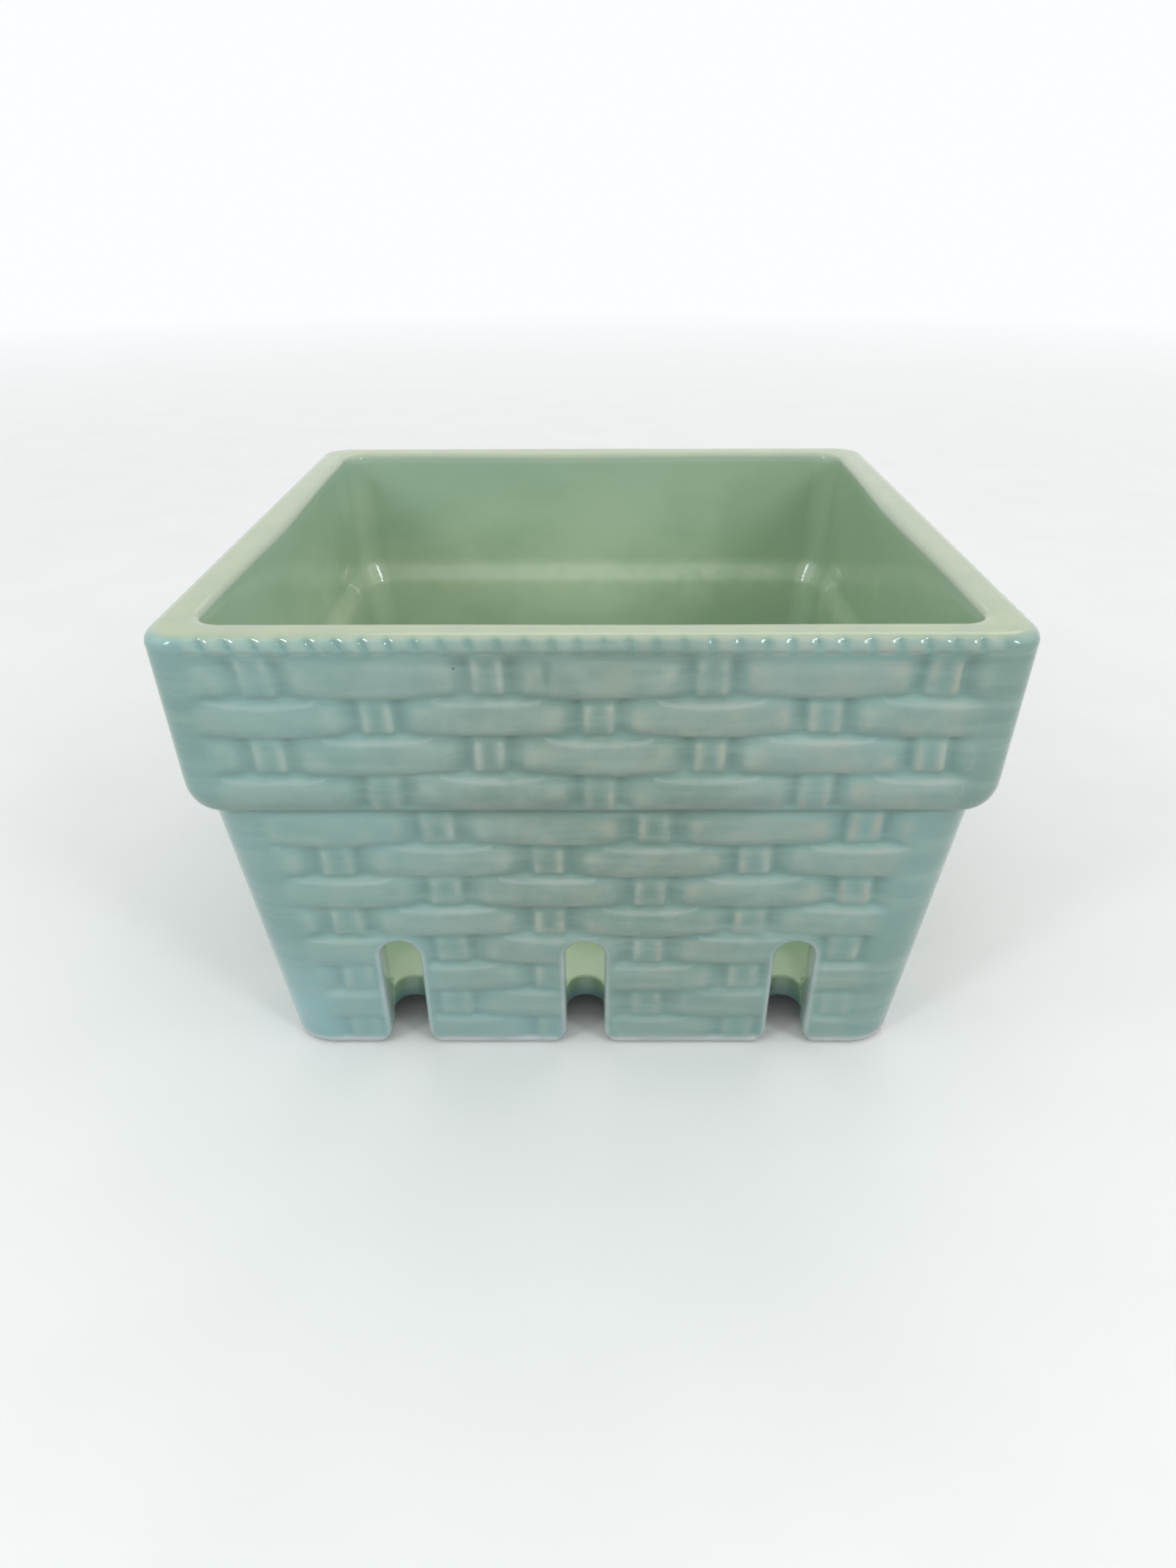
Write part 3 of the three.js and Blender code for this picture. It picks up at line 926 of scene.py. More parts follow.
    def _outer_tones(self, x: Array, z: Array) -> dict[Tone, Array]:
        """Tones of the woven surface.

        Args:
            x: Places along the side.
            z: Heights.

        Returns:
            The tones at each point.
        """
        away = self.slots.offset(x, z)
        reach = self.sizes.wall_half(z) - self.sizes.wall_radius
        woven = self.weave.tones(x, z, reach)
        calm = self._calm(away)
        # Pale line along the feet's lower edge: glaze thin there, and a painted highlight on the rounding.
        foot = bell(z, *self.foot_place)
        cut = bell(away, *self.cut_place)
        edge = np.maximum(np.maximum(foot, self.cut_edge * cut), woven[Tone.EDGE] * calm)
        return {Tone.POOL: woven[Tone.POOL] * calm, Tone.EDGE: edge}

    def _inner_tones(self, x: Array, z: Array) -> dict[Tone, Array]:
        """Tones of the cavity's surface and of the inside of the feet.

        Args:
            x: Places along the side.
            z: Heights.

        Returns:
            The tones at each point.
        """
        away = self.slots.offset(x, z)
        near_floor = bell(z - self.sizes.floor_top, *self.fillet_place)
        return {
            Tone.INNER: smooth((z - self.sizes.floor_bottom) / 2.0) * np.ones_like(x),
            # The inner step is painted paler: thin glaze, and painted light.
            Tone.POOL: self.fillet_pool * near_floor - inner_step_thin_and_lit(self.sizes, x, z),
            Tone.EDGE: self.inner_edge * bell(away, 0.0, self.inner_edge_width),
        }

    def _flat(self, x: Array, z: Array, outside: bool) -> Patch:
        """A patch on the flat of the side, at given places and heights.

        Args:
            x: Places along the side.
            z: Heights.
            outside: Whether it is the woven face.

        Returns:
            The patch.
        """
        y = self._outer_y(x, z) if outside else self._inner_y(x, z)
        tones = self._outer_tones(x, z) if outside else self._inner_tones(x, z)
        return Patch(np.stack([x, y, z], axis=-1), tones)

    def _strip(self, start: int, stop: int, rows: Array, outside: bool) -> Patch:
        """A patch between two columns, which may run round a corner.

        Args:
            start: Index of the first column.
            stop: Index of the last column.
            rows: Heights of the rows.
            outside: Whether it is the woven face.

        Returns:
            The patch.
        """
        sizes = self.sizes
        columns = self.columns.take(start, stop)
        half = sizes.wall_half(rows) - sizes.foot_round(rows) if outside else self._inner_half(rows)
        radius = sizes.wall_radius if outside else sizes.inner_radius
        x, y = columns.place(half, radius)
        z = np.broadcast_to(rows[:, None], x.shape)
        patch = self._flat(x, z, outside)
        on_corner = np.broadcast_to(columns.turn != 0.0, x.shape)
        patch.points[..., 1] = np.where(on_corner, y, patch.points[..., 1])
        return patch

    def _window_places(self, middle: float) -> tuple[Array, Array]:
        """Places round a slot: along its outline from left foot to right foot, and outwards from it.

        Args:
            middle: Middle of the slot.

        Returns:
            Places along the side and heights, one row for each share of the way out.
        """
        slots = self.slots
        rows = self.low_rows
        left, right = slots.window(middle)
        top_x = self.columns.fixed[self._index(left) + 1 : self._index(right)]
        edge_x = np.concatenate([np.full(len(rows), left), top_x, np.full(len(rows), right)])
        edge_z = np.concatenate([rows, np.full(len(top_x), slots.window_top), rows[::-1]])
        upper = edge_z >= slots.spring - 1e-9
        length = np.concatenate([[0.0], np.cumsum(np.hypot(np.diff(edge_x[upper]), np.diff(edge_z[upper])))])
        angle = math.pi * (1.0 - length / length[-1])
        slot_x, slot_z = np.empty_like(edge_x), np.empty_like(edge_z)
        slot_x[upper] = middle + slots.width / 2.0 * np.cos(angle)
        slot_z[upper] = slots.spring + slots.width / 2.0 * np.sin(angle)
        sign = np.sign(edge_x[~upper] - middle)
        slot_x[~upper] = middle + sign * slots.half_opening(edge_z[~upper])
        slot_z[~upper] = edge_z[~upper]
        share = np.array(self.away)[:, None]
        return slot_x + (edge_x - slot_x) * share, slot_z + (edge_z - slot_z) * share

    def _between(self, outer: Array, inner: Array) -> Patch:
        """A patch through the wall, from a line of points inside to one outside.

        Args:
            outer: Points on the woven face.
            inner: Points on the plain face, one for each.

        Returns:
            The patch.
        """
        share = np.array(self.through)[:, None, None]
        points = inner + (outer - inner) * share
        fade = np.broadcast_to(1.0 - share[..., 0], points.shape[:2])
        z = points[..., 2]
        lit = smooth((z - self.sizes.floor_bottom) / 4.0)
        return Patch(points, {Tone.INNER: (0.35 + 0.65 * fade) * lit, Tone.EDGE: 0.5 * (1.0 - fade) ** 2})

    def _visible_patches(self) -> list[Patch]:
        """Every patch of the skin except the hidden top.

        Returns:
            The patches, all facing outwards.
        """
        slots = self.slots
        last = len(self.columns.fixed) - 1
        windows = [tuple(self._index(edge) for edge in slots.window(middle)) for middle in slots.middles]
        stops = [0, *(index for window in windows for index in window), last]
        spans = list(zip(stops[::2], stops[1::2]))
        outer_all = np.concatenate([self.low_rows[:-1], self.outer_rows])
        inner_all = np.concatenate([self.low_rows[:-1], self.inner_rows])
        patches = []
        for start, stop in spans:
            outer = self._strip(start, stop, outer_all, True)
            inner = self._strip(start, stop, inner_all, False)
            patches.append(outer)
            patches.append(flipped(inner))
            patches.append(self._between(outer.points[0], inner.points[0]))
        for (start, stop), middle in zip(windows, slots.middles):
            patches.append(self._strip(start, stop, self.outer_rows, True))
            patches.append(flipped(self._strip(start, stop, self.inner_rows, False)))
            x, z = self._window_places(middle)
            outer, inner = self._flat(x, z, True), self._flat(x, z, False)
            patches.append(outer)
            patches.append(flipped(inner))
            patches.append(self._between(outer.points[0], inner.points[0]))
            patches += [
                self._between(outer.points[::-1, 0], inner.points[::-1, 0]),
                self._between(outer.points[:, -1], inner.points[:, -1]),
            ]
        return patches

    def _top_patch(self) -> Patch:
        """The hidden face under the collar.

        Returns:
            The patch.
        """
        last = len(self.columns.fixed) - 1
        rows = np.array([self.sizes.collar_bottom])
        outer, inner = (self._strip(0, last, rows, outside) for outside in (True, False))
        tones = {}
        for tone in Tone:
            rims = [np.broadcast_to(patch.tones.get(tone, 0.0), (1, last + 1)) for patch in (outer, inner)]
            tones[tone] = np.concatenate(rims)
        return Patch(np.concatenate([outer.points, inner.points]), tones)

    def build(self) -> bpy.types.Object:
        """Makes the front's lower wall.

        Returns:
            The closed piece.
        """
        skin = unite([lay(patch) for patch in self._visible_patches()], "woven_wall_front")
        points = vectors(skin.data.vertices, "co")
        normals = square_to_mitre(points, vectors(skin.data.vertex_normals, "vector"))
        slope_alike(points, normals, self.sizes)
        piece = unite([skin, lay(self._top_patch())], "woven_wall_front")
        close_mitres(piece)
        give_normals(piece, points, normals)
        return piece


# The collar, rope edging and rim


@dataclass
class UpperSide:
    """One side above the step: woven collar, rope edging, rim, and the cavity's wall behind them."""

    sizes: BoxSizes
    weave: Weave = Weave(
        edges=(55.0, 62.0, 68.75, 75.2, 82.4),
        first_stake=1.3,
        spacing=33.8,
        relief=1.05,
        top_calm=0.6,
        pads=((-6.6, 79.2),),
    )
    step: float = 0.32
    corner_steps: int = 10
    core: float = 40.0
    bead_spacing: float = 3.9
    bead_bulge: float = 0.52
    bead_lean: float = 0.45
    bead_lean_reach: float = 50.0
    bead_power: float = 2.7
    bead_groove: float = 0.05
    groove_height: float = 82.55
    groove_width: float = 0.42
    round_depth: float = 0.14
    round_low: float = 82.2
    round_high: float = 83.4
    bead_fade: float = 2.4
    aside_start: float = 8.0
    aside_reach: float = 30.0
    bead_pool: float = 0.55
    bead_bare: float = 0.35
    bead_bare_aside: float = 0.3
    under_pool: float = 0.1
    under_width: float = 0.45
    cavity_pool: float = 0.5
    cavity_pool_from: float = 74.0
    cavity_pool_rise: float = 8.0
    lip_edge: float = 0.12
    bead_start: float = 82.5
    bead_middle: float = 83.9
    bead_end: float = 84.4
    seam_row: int = 9
    plain_top: float = 80.0
    plain_step: float = 3.0
    inner_step: float = 0.4
    inner_lead: float = 0.8
    settle_reach: float = 58.0
    dip: float = 0.06
    bow: float = 0.16
    bow_swing: float = 0.3
    section: tuple[tuple[float, float], ...] = (
        (0.15, 82.62),
        (0.13, 82.92),
        (0.1, 83.2),
        (0.11, 83.55),
        (0.17, 83.9),
        (0.28, 84.28),
        (0.46, 84.64),
        (0.75, 84.98),
        (1.2, 85.26),
        (1.9, 85.37),
        (2.6, 85.39),
        (3.6, 85.4),
        (4.8, 85.39),
        (5.3, 85.36),
        (5.85, 85.24),
        (6.25, 84.98),
        (6.52, 84.6),
        (6.67, 84.1),
        (6.74, 83.5),
    )

    def _columns(self) -> Columns:
        """The upright grid lines that every row shares."""
        reach = self.sizes.rim_width / 2.0 - self.sizes.collar_radius
        return Columns.across((-self.core, self.core), self.step, reach, self.corner_steps)

    def _collar_rows(self) -> Array:
        """Half width and height at each row of the collar's outside.

        Returns:
            One pair for each row, upwards.
        """
        sizes = self.sizes
        turn = np.linspace(0.0, math.pi / 2.0, 15)[:-1]
        low = sizes.collar_bottom + sizes.collar_round * (1.0 - np.cos(turn))
        high = spaced(sizes.collar_bottom + sizes.collar_round, self.bead_start, self.step)
        z = np.concatenate([low, high])
        return np.stack([sizes.collar_half(z), z], axis=1)

    def _edge_rows(self) -> Array:
        """Half width and height at each row from the groove under the beads to the inner edge.

        Returns:
            One pair for each row, up and over.
        """
        path = np.array(self.section)
        path[:, 0] = self.sizes.rim_width / 2.0 - path[:, 0]
        length = np.concatenate([[0.0], np.cumsum(np.hypot(*np.diff(path, axis=0).T))])
        seams = [length[1], length[self.seam_row]]
        places = np.concatenate(
            [
                spaced(0.0, seams[0], 0.2),
                spaced(seams[0], seams[1], 0.2),
                spaced(seams[1], length[-1], 0.35),
                [length[-1]],
            ],
        )
        return np.stack([np.interp(places, length, path[:, column]) for column in (0, 1)], axis=1)

    def _cavity_rows(self) -> Array:
        """Half width and height at each row of the cavity's wall, downwards.

        Returns:
            One pair for each row.
        """
        sizes = self.sizes
        step_end = sizes.collar_bottom + sizes.collar_round + self.inner_lead
        plain = spaced(self.plain_top, step_end, self.plain_step)
        stepped = spaced(step_end, sizes.collar_bottom, self.inner_step)
        z = np.concatenate([[sizes.rope_bottom], plain, stepped, [sizes.collar_bottom]])
        return np.stack([sizes.cavity_half(z), z], axis=1)

    def _bead(self, x: Array, z: Array) -> Array:
        """How much of a bead stands at a place, 0 in the slanted grooves between beads.

        Args:
            x: Places along the side.
            z: Heights.

        Returns:
            The shares, 1 on the middle of a bead.
        """
        lean = self.bead_lean * (0.2 + 0.8 * np.clip(-x / self.bead_lean_reach, 0.0, 1.0))
        along = (x + lean * (z - self.bead_middle) + 0.25 * np.sin(0.21 * x)) / self.bead_spacing
        groove = np.abs(2.0 * (along - np.round(along)))
        return 1.0 - groove**self.bead_power

    def _aside(self, x: Array) -> Array:
        """How far a place lies towards the side's ends, where the beads stand out more."""
        return smooth((np.abs(x) - self.aside_start) / self.aside_reach)

    def _bead_carving(self, x: Array, z: Array) -> Array:
        """Depth cut from the plain edge to leave the beads and the soft groove under them.

        Args:
            x: Places along the side.
            z: Heights.

        Returns:
            The depths in millimetres.
        """
        bulge = self.bead_bulge * (0.5 + 0.5 * self._aside(x))
        between = bulge * (1.0 - self._bead(x, z)) * smooth((z - self.bead_start) / 1.2)
        under = self.bead_groove * bell(z, self.groove_height, self.groove_width)
        rounding = smooth((self.round_high - z) / 0.9) * smooth((z - self.round_low) / 0.4)
        carved = np.maximum(between * (1.0 - smooth(z - self.bead_end)), under)
        return carved + self.round_depth * rounding

    def surface(self) -> tuple[Array, dict[Tone, Array], int, int, int]:
        """The whole visible skin, row by row from the step up and over into the cavity.

        Returns:
            Points, tones, and the rows where the rope edging, the rim and the cavity's wall start.
        """
        sizes = self.sizes
        collar, edge, cavity = self._collar_rows(), self._edge_rows(), self._cavity_rows()
        path = np.concatenate([collar, edge, cavity])
        half, height = path[:, 0], path[:, 1]
        columns = self._columns()
        x, y = columns.place(half, sizes.collar_radius)
        z = level = np.repeat(height[:, None], x.shape[1], axis=1)
        flat = np.broadcast_to(columns.turn == 0.0, x.shape)
        reach = (half - sizes.collar_radius)[:, None]
        fade = np.where(flat, smooth((reach - np.abs(x)) / self.bead_fade), 0.0)

        rows = len(path)
        rope_start = len(collar) + int(np.argmin(np.abs(edge[:8, 1] - sizes.rope_bottom)))
        seam = sizes.rim_width / 2.0 - sizes.rope_depth
        rim_start = len(collar) + int(np.argmin(np.abs(edge[:, 0] - seam)))
        cavity_start = rows - len(cavity)

        under = smooth((z - sizes.collar_bottom) / 1.6)
        woven = np.arange(rows)[:, None] < len(collar)
        relief = np.where(woven & flat, self.weave.depth(x, z, reach) * under, 0.0)
        outward = self._outward(path)
        carved = np.where(np.arange(rows)[:, None] < rim_start, fade * self._bead_carving(x, z), 0.0)
        out = -relief - outward[:, 0:1] * carved
        x = x + out * np.sin(columns.turn)
        y = y - out * np.cos(columns.turn)
        z = z - outward[:, 1:2] * carved
        z, y = self._settle(x, y, z, rim_start, cavity_start)
        limit = sizes.rim_width / 2.0
        kept = [np.clip(x, -limit, limit), np.maximum(y, -limit), np.minimum(z, sizes.height)]
        points = np.stack(kept, axis=-1)
        tones = self._tones(x, level, reach, fade, (len(collar), rim_start, cavity_start))
        return points, tones, rope_start, rim_start, cavity_start

    def _outward(self, path: Array) -> Array:
        """Outward and upward share of the direction that each row faces.

        Args:
            path: Half width and height at each row.

        Returns:
            The two shares at each row.
        """
        ahead = np.gradient(path, axis=0)
        ahead /= np.maximum(np.linalg.norm(ahead, axis=1, keepdims=True), 1e-9)
        return np.stack([ahead[:, 1], -ahead[:, 0]], axis=1)

    def _settle(self, x: Array, y: Array, z: Array, rim_start: int, cavity_start: int) -> tuple[Array, Array]:
        """The slight waves that firing leaves in the rim and its inner edge, none at the corners.

        Args:
            x: Places along the side.
            y: Places across the side.
            z: Heights.
            rim_start: Row where the rim starts.
            cavity_start: Row where the cavity's wall starts.

        Returns:
            The waved heights and places across the side.
        """
        middle = np.cos(np.clip(x / self.settle_reach, -1.0, 1.0) * np.pi / 2.0) ** 2
        rows = np.arange(len(z))[:, None]
        rim = smooth((rows - rim_start) / 6.0) * (1.0 - smooth((rows - cavity_start) / 3.0))
        dip = self.dip + self.dip * np.sin(0.07 * x + 0.6)
        bow = self.bow + self.bow_swing * np.sin(0.045 * x + 1.2)
        inner = smooth((rows - rim_start - 10.0) / 8.0) * (1.0 - smooth((rows - cavity_start) / 4.0))
        return z - dip * rim * middle, y + bow * inner * middle

    def _tones(
        self,
        x: Array,
        z: Array,
        reach: Array,
        fade: Array,
        starts: tuple[int, int, int],
    ) -> dict[Tone, Array]:
        """Tones of the visible skin.

        Args:
            x: Places along the side.
            z: Heights.
            reach: Where the corner starts in each row.
            fade: How much of the beads shows at each point.
            starts: Rows where the rope edging, the rim and the cavity's wall start.

        Returns:
            The tones at each point.
        """
        woven_end, rim_start, cavity_start = starts
        rows = np.arange(len(z))[:, None]
        weave_tones = self.weave.tones(x, np.minimum(z, self.weave.edges[-1]), reach)
        bead = self._bead(x, z)
        bare = self.bead_bare + self.bead_bare_aside * self._aside(x)
        bead_pool = fade * (self.bead_pool * (1.0 - bead) - bare * bead)
        under_beads = self.under_pool * fade * bell(z, self.bead_start, self.under_width)
        under_rim = smooth((z - self.cavity_pool_from) / self.cavity_pool_rise)
        # The inner step is painted paler: thin glaze, and painted light.
        cavity_pool = self.cavity_pool * under_rim - inner_step_thin_and_lit(self.sizes, x, z)
        smooth_pool = np.where(rows < rim_start, bead_pool, np.where(rows < cavity_start, 0.0, cavity_pool))
        pool = np.where(rows < woven_end, weave_tones[Tone.POOL], smooth_pool)
        pool = np.where(rows < rim_start, pool + under_beads, pool)
        overlap = 10.0 + 2.0 * fade * (bead - 0.5)
        cream = smooth((rows - rim_start + overlap) / 9.0) * (1.0 - smooth((rows - cavity_start + 7.0) / 9.0))
        inner = smooth((rows - cavity_start + 5.0) / 6.0) * np.ones_like(x)
        edge = self.lip_edge * bell(rows - cavity_start, -6.0, 1.5) * np.ones_like(x)
        edge = np.where(rows < woven_end, weave_tones[Tone.EDGE], edge)
        return {Tone.POOL: pool, Tone.CREAM: cream * np.ones_like(x), Tone.INNER: inner, Tone.EDGE: edge}

    def build(self) -> dict[str, bpy.types.Object]:
        """Makes the front's collar, rope edging and rim.

        Returns:
            The closed pieces by name.
        """
        points, tones, rope, rim, cavity = self.surface()
        along, up = np.gradient(points, axis=1), np.gradient(points, axis=0)
        normals = np.cross(along, up).reshape(-1, 3)
        flat_points = (points * MM).reshape(-1, 3)
        normals = square_to_mitre(flat_points, normals)
        slope_alike(flat_points, normals, self.sizes)

        buried = self._hidden_line(points.shape[1])
        loops = {
            "woven_collar_front": [slice(0, rope + 1), slice(cavity, None), slice(0, 1)],
            "rope_edging_beads_front": [slice(rope, rim + 1), None, slice(rope, rope + 1)],
            "smooth_rim_front": [slice(rim, cavity + 1), None, slice(rim, rim + 1)],
        }
        pieces = {}
        for name, parts in loops.items():
            rows = [buried if part is None else points[part] for part in parts]
            values = {
                tone: np.concatenate(
                    [np.zeros((1, points.shape[1])) if part is None else value[part] for part in parts],
                )
                for tone, value in tones.items()
            }
            piece = unite([lay(Patch(np.concatenate(rows), values))], name)
            close_mitres(piece)
            give_normals(piece, flat_points, normals)
            pieces[name] = piece
        return pieces

    def _hidden_line(self, count: int) -> Array:
        """The buried line where collar, rope edging and rim meet inside the casting.

        Args:
            count: How many columns there are.

        Returns:
            The line's points, as one row.
        """
        sizes = self.sizes
        half = np.array([sizes.rim_width / 2.0 - sizes.rope_depth])
        x, y = self._columns().place(half, sizes.collar_radius)
        z = np.full((1, count), sizes.rope_bottom)
        return np.stack([x, y, z], axis=-1)


# The raised floor


@dataclass
class FloorSlab:
    """The cavity's floor, raised on the feet, with a round bite at each slot."""

    sizes: BoxSizes
    slots: SlotSizes = SlotSizes()
    edge_round: float = 0.9
    bite_steps: int = 48
    corner_steps: int = 8

    def _plate(self) -> bpy.types.Object:
        """The plain slab with its four round corners.

        Returns:
            The slab, with no bites.
        """
        sizes = self.sizes
        middle = sizes.floor_middle * MM
        deselect()
        bpy.ops.mesh.primitive_cube_add(size=1.0, location=(0.0, 0.0, middle))
        plate = bpy.context.object
        plate.scale = (sizes.floor_width * MM, sizes.floor_width * MM, sizes.floor_thickness * MM)
        bpy.ops.object.transform_apply(location=True, rotation=True, scale=True)
        bpy.ops.object.mode_set(mode="EDIT")
        bpy.ops.mesh.select_mode(type="EDGE")
        bpy.ops.mesh.select_all(action="DESELECT")
        bpy.ops.object.mode_set(mode="OBJECT")
        for edge in plate.data.edges:
            ends = [plate.data.vertices[index].co for index in edge.vertices]
            edge.select = abs(ends[0].z - ends[1].z) > sizes.floor_thickness * MM / 2.0
        bpy.ops.object.mode_set(mode="EDIT")
        bpy.ops.mesh.bevel(offset=sizes.inner_radius * MM, segments=self.corner_steps, affect="EDGES")
        bpy.ops.object.mode_set(mode="OBJECT")
        return plate

    def _cutter(self) -> bpy.types.Object:
        """Twelve round bars, one for each bite.

        Returns:
            The bars, as one piece.
        """
        sizes = self.sizes
        middle = sizes.floor_middle * MM
        bars = []
        for side in Side:
            turn = Matrix.Rotation(side.value * math.pi / 2.0, 3, "Z")
            for place in self.slots.middles:
                spot = turn @ Vector((place * MM, -sizes.floor_width / 2.0 * MM, middle))
                deselect()
                bpy.ops.mesh.primitive_cylinder_add(
                    vertices=self.bite_steps,
                    radius=self.slots.width / 2.0 * MM,
                    depth=3.0 * sizes.floor_thickness * MM,
                    location=spot,
                )
                bars.append(bpy.context.object)
        pick(bars)
        bpy.ops.object.join()
        return bpy.context.object

    def _apply(self, piece: bpy.types.Object, kind: str, **settings: object) -> None:
        """Adds a modifier with its settings and applies it.

        Args:
            piece: The piece that gets it.
            kind: The modifier's type.
            settings: Its settings by name.
        """
        pick([piece])
        modifier = piece.modifiers.new(kind.lower(), kind)
        for key, value in settings.items():
            setattr(modifier, key, value)
        bpy.ops.object.modifier_apply(modifier=modifier.name)

    def build(self) -> bpy.types.Object:
        """Makes the floor.

        Returns:
            The closed piece.
        """
        plate, cutter = self._plate(), self._cutter()
        self._apply(plate, "BOOLEAN", operation="DIFFERENCE", object=cutter, solver="EXACT")
        bpy.data.objects.remove(cutter)
        bevel = {"limit_method": "ANGLE", "angle_limit": math.radians(40.0), "segments": 4}
        self._apply(plate, "BEVEL", width=self.edge_round * MM, **bevel)
        bpy.ops.object.shade_smooth_by_angle(angle=math.radians(35.0))
        self._apply(plate, "WEIGHTED_NORMAL", keep_sharp=True)
        plate.name = plate.data.name = "raised_floor"
        z = vectors(plate.data.vertices, "co")[:, 2] / MM
        upper = smooth((z - self.sizes.floor_top + 1.2) / 1.1)
        # The sides take the darker pooled tone: glaze pooled there, and painted shade on the cut edges seen
        # through the slots.
        keep_tones(plate.data, {Tone.INNER: upper, Tone.POOL: 1.2 * (1.0 - upper)}, z.shape)
        return plate


# The glaze


def linear(red: int, green: int, blue: int) -> tuple[float, float, float, float]:
    """A colour given in display values, as the shader wants it.

    Args:
        red: 0 to 255.
        green: 0 to 255.
        blue: 0 to 255.

    Returns:
        The linear colour with full alpha.
    """
    shares = [value / 255.0 for value in (red, green, blue)]
    bent = [s / 12.92 if s <= 0.04045 else ((s + 0.055) / 1.055) ** 2.4 for s in shares]
    return (*bent, 1.0)


@dataclass
class NodeBench:
    """Lays out the nodes of one material."""

    tree: bpy.types.NodeTree
    place: Socket | None = None
    column: int = 0

    def add(self, kind: str, **settings: object) -> bpy.types.Node:
        """Adds a node and sets what is named, either its own setting or an input's value.

        Args:
            kind: The node's type.
            settings: Settings, or inputs in lower case.

        Returns:
            The node.
        """
        node = self.tree.nodes.new(kind)
        node.location = (self.column * 190.0 - 1600.0, -(self.column % 5) * 170.0)
        self.column += 1
        for key, value in settings.items():
            if hasattr(node, key):
                setattr(node, key, value)
            else:
                node.inputs[key.replace("_", " ").title()].default_value = value
        return node

    def wire(self, output: Socket, socket: Socket) -> None:
        """Links an output to an input."""
        self.tree.links.new(output, socket)

    def fill(self, node: bpy.types.Node, values: dict[int, object]) -> None:
        """Wires or sets inputs, where three numbers are a display colour and None is left alone."""
        for index, value in values.items():
            if isinstance(value, Socket):
                self.wire(value, node.inputs[index])
            elif value is not None:
                node.inputs[index].default_value = linear(*value) if isinstance(value, tuple) else value

    def math(self, operation: str, first: object, second: object = None, clamp: bool = False) -> Socket:
        """A math node on numbers or outputs.

        Args:
            operation: What the node works out.
            first: First number or output.
            second: Second one, where it takes one.
            clamp: Whether the result is cut off below 0 and above 1.

        Returns:
            The result.
        """
        node = self.add("ShaderNodeMath", operation=operation, use_clamp=clamp)
        self.fill(node, {0: first, 1: second})
        return node.outputs[0]

    def times(self, first: object, second: object, clamp: bool = False) -> Socket:
        """The product of two values."""
        return self.math("MULTIPLY", first, second, clamp)

    def tone(self, tone: Tone) -> Socket:
        """The value kept on the surface for a tone."""
        return self.add("ShaderNodeAttribute", attribute_name=tone.value).outputs["Fac"]

    def along(self, axis: str) -> Socket:
        """The object coordinate along the axis named.

        Args:
            axis: X, Y or Z.

        Returns:
            The coordinate.
        """
        apart = self.add("ShaderNodeSeparateXYZ")
        self.wire(self.place, apart.inputs[0])
        return apart.outputs[axis]

    def scaled(self, scale: tuple[float, float, float]) -> Socket:
        """Object coordinates with each axis scaled, so that noise read there is drawn out.

        Args:
            scale: Factor along each axis.

        Returns:
            The scaled coordinates.
        """
        mapping = self.add("ShaderNodeMapping")
        mapping.inputs["Scale"].default_value = scale
        self.wire(self.place, mapping.inputs["Vector"])
        return mapping.outputs["Vector"]

    def blend(self, factor: object, first: object, second: object) -> Socket:
        """A colour between two colours.

        Args:
            factor: Share of the second colour.
            first: First colour or output.
            second: Second colour or output.

        Returns:
            The colour.
        """
        node = self.add("ShaderNodeMix", data_type="RGBA")
        self.fill(node, {0: factor, 6: first, 7: second})
        return node.outputs[2]

    def noise(self, scale: float, detail: float = 2.0, place: Socket | None = None) -> Socket:
        """Soft noise, about 0 to 1.

        Args:
            scale: How fine it is, in waves to the metre.
            detail: How many finer layers it has.
            place: Where the noise is read, if not at the object coordinates.

        Returns:
            The noise.
        """
        node = self.add("ShaderNodeTexNoise")
        node.inputs["Scale"].default_value = scale
        node.inputs["Detail"].default_value = detail
        self.wire(place or self.place, node.inputs["Vector"])
        return node.outputs["Fac"]

    def window(self, value: object, low: float, high: float, start: float = 0.0, end: float = 1.0) -> object:
        """A value mapped from one range to another, and cut off at its ends.

        Args:
            value: The value.
            low: Where the range starts.
            high: Where it ends.
            start: The result at its start.
            end: The result at its end.

        Returns:
            The result.
        """
        node = self.add("ShaderNodeMapRange")
        self.wire(value, node.inputs["Value"])
        for key, number in zip(("From Min", "From Max", "To Min", "To Max"), (low, high, start, end)):
            node.inputs[key].default_value = number
        return node.outputs["Result"]


def new_material(name: str) -> tuple[bpy.types.Material, NodeBench, bpy.types.Node]:
    """Makes a material whose patterns are laid out in object coordinates.

    Args:
        name: Its name.

    Returns:
        The material, the bench for its nodes, and its main shader.
    """
    material = bpy.data.materials.new(name)
    material.use_nodes = True
    bench = NodeBench(material.node_tree)
    shader = material.node_tree.nodes["Principled BSDF"]
    bench.place = bench.add("ShaderNodeTexCoord").outputs["Object"]
    return material, bench, shader


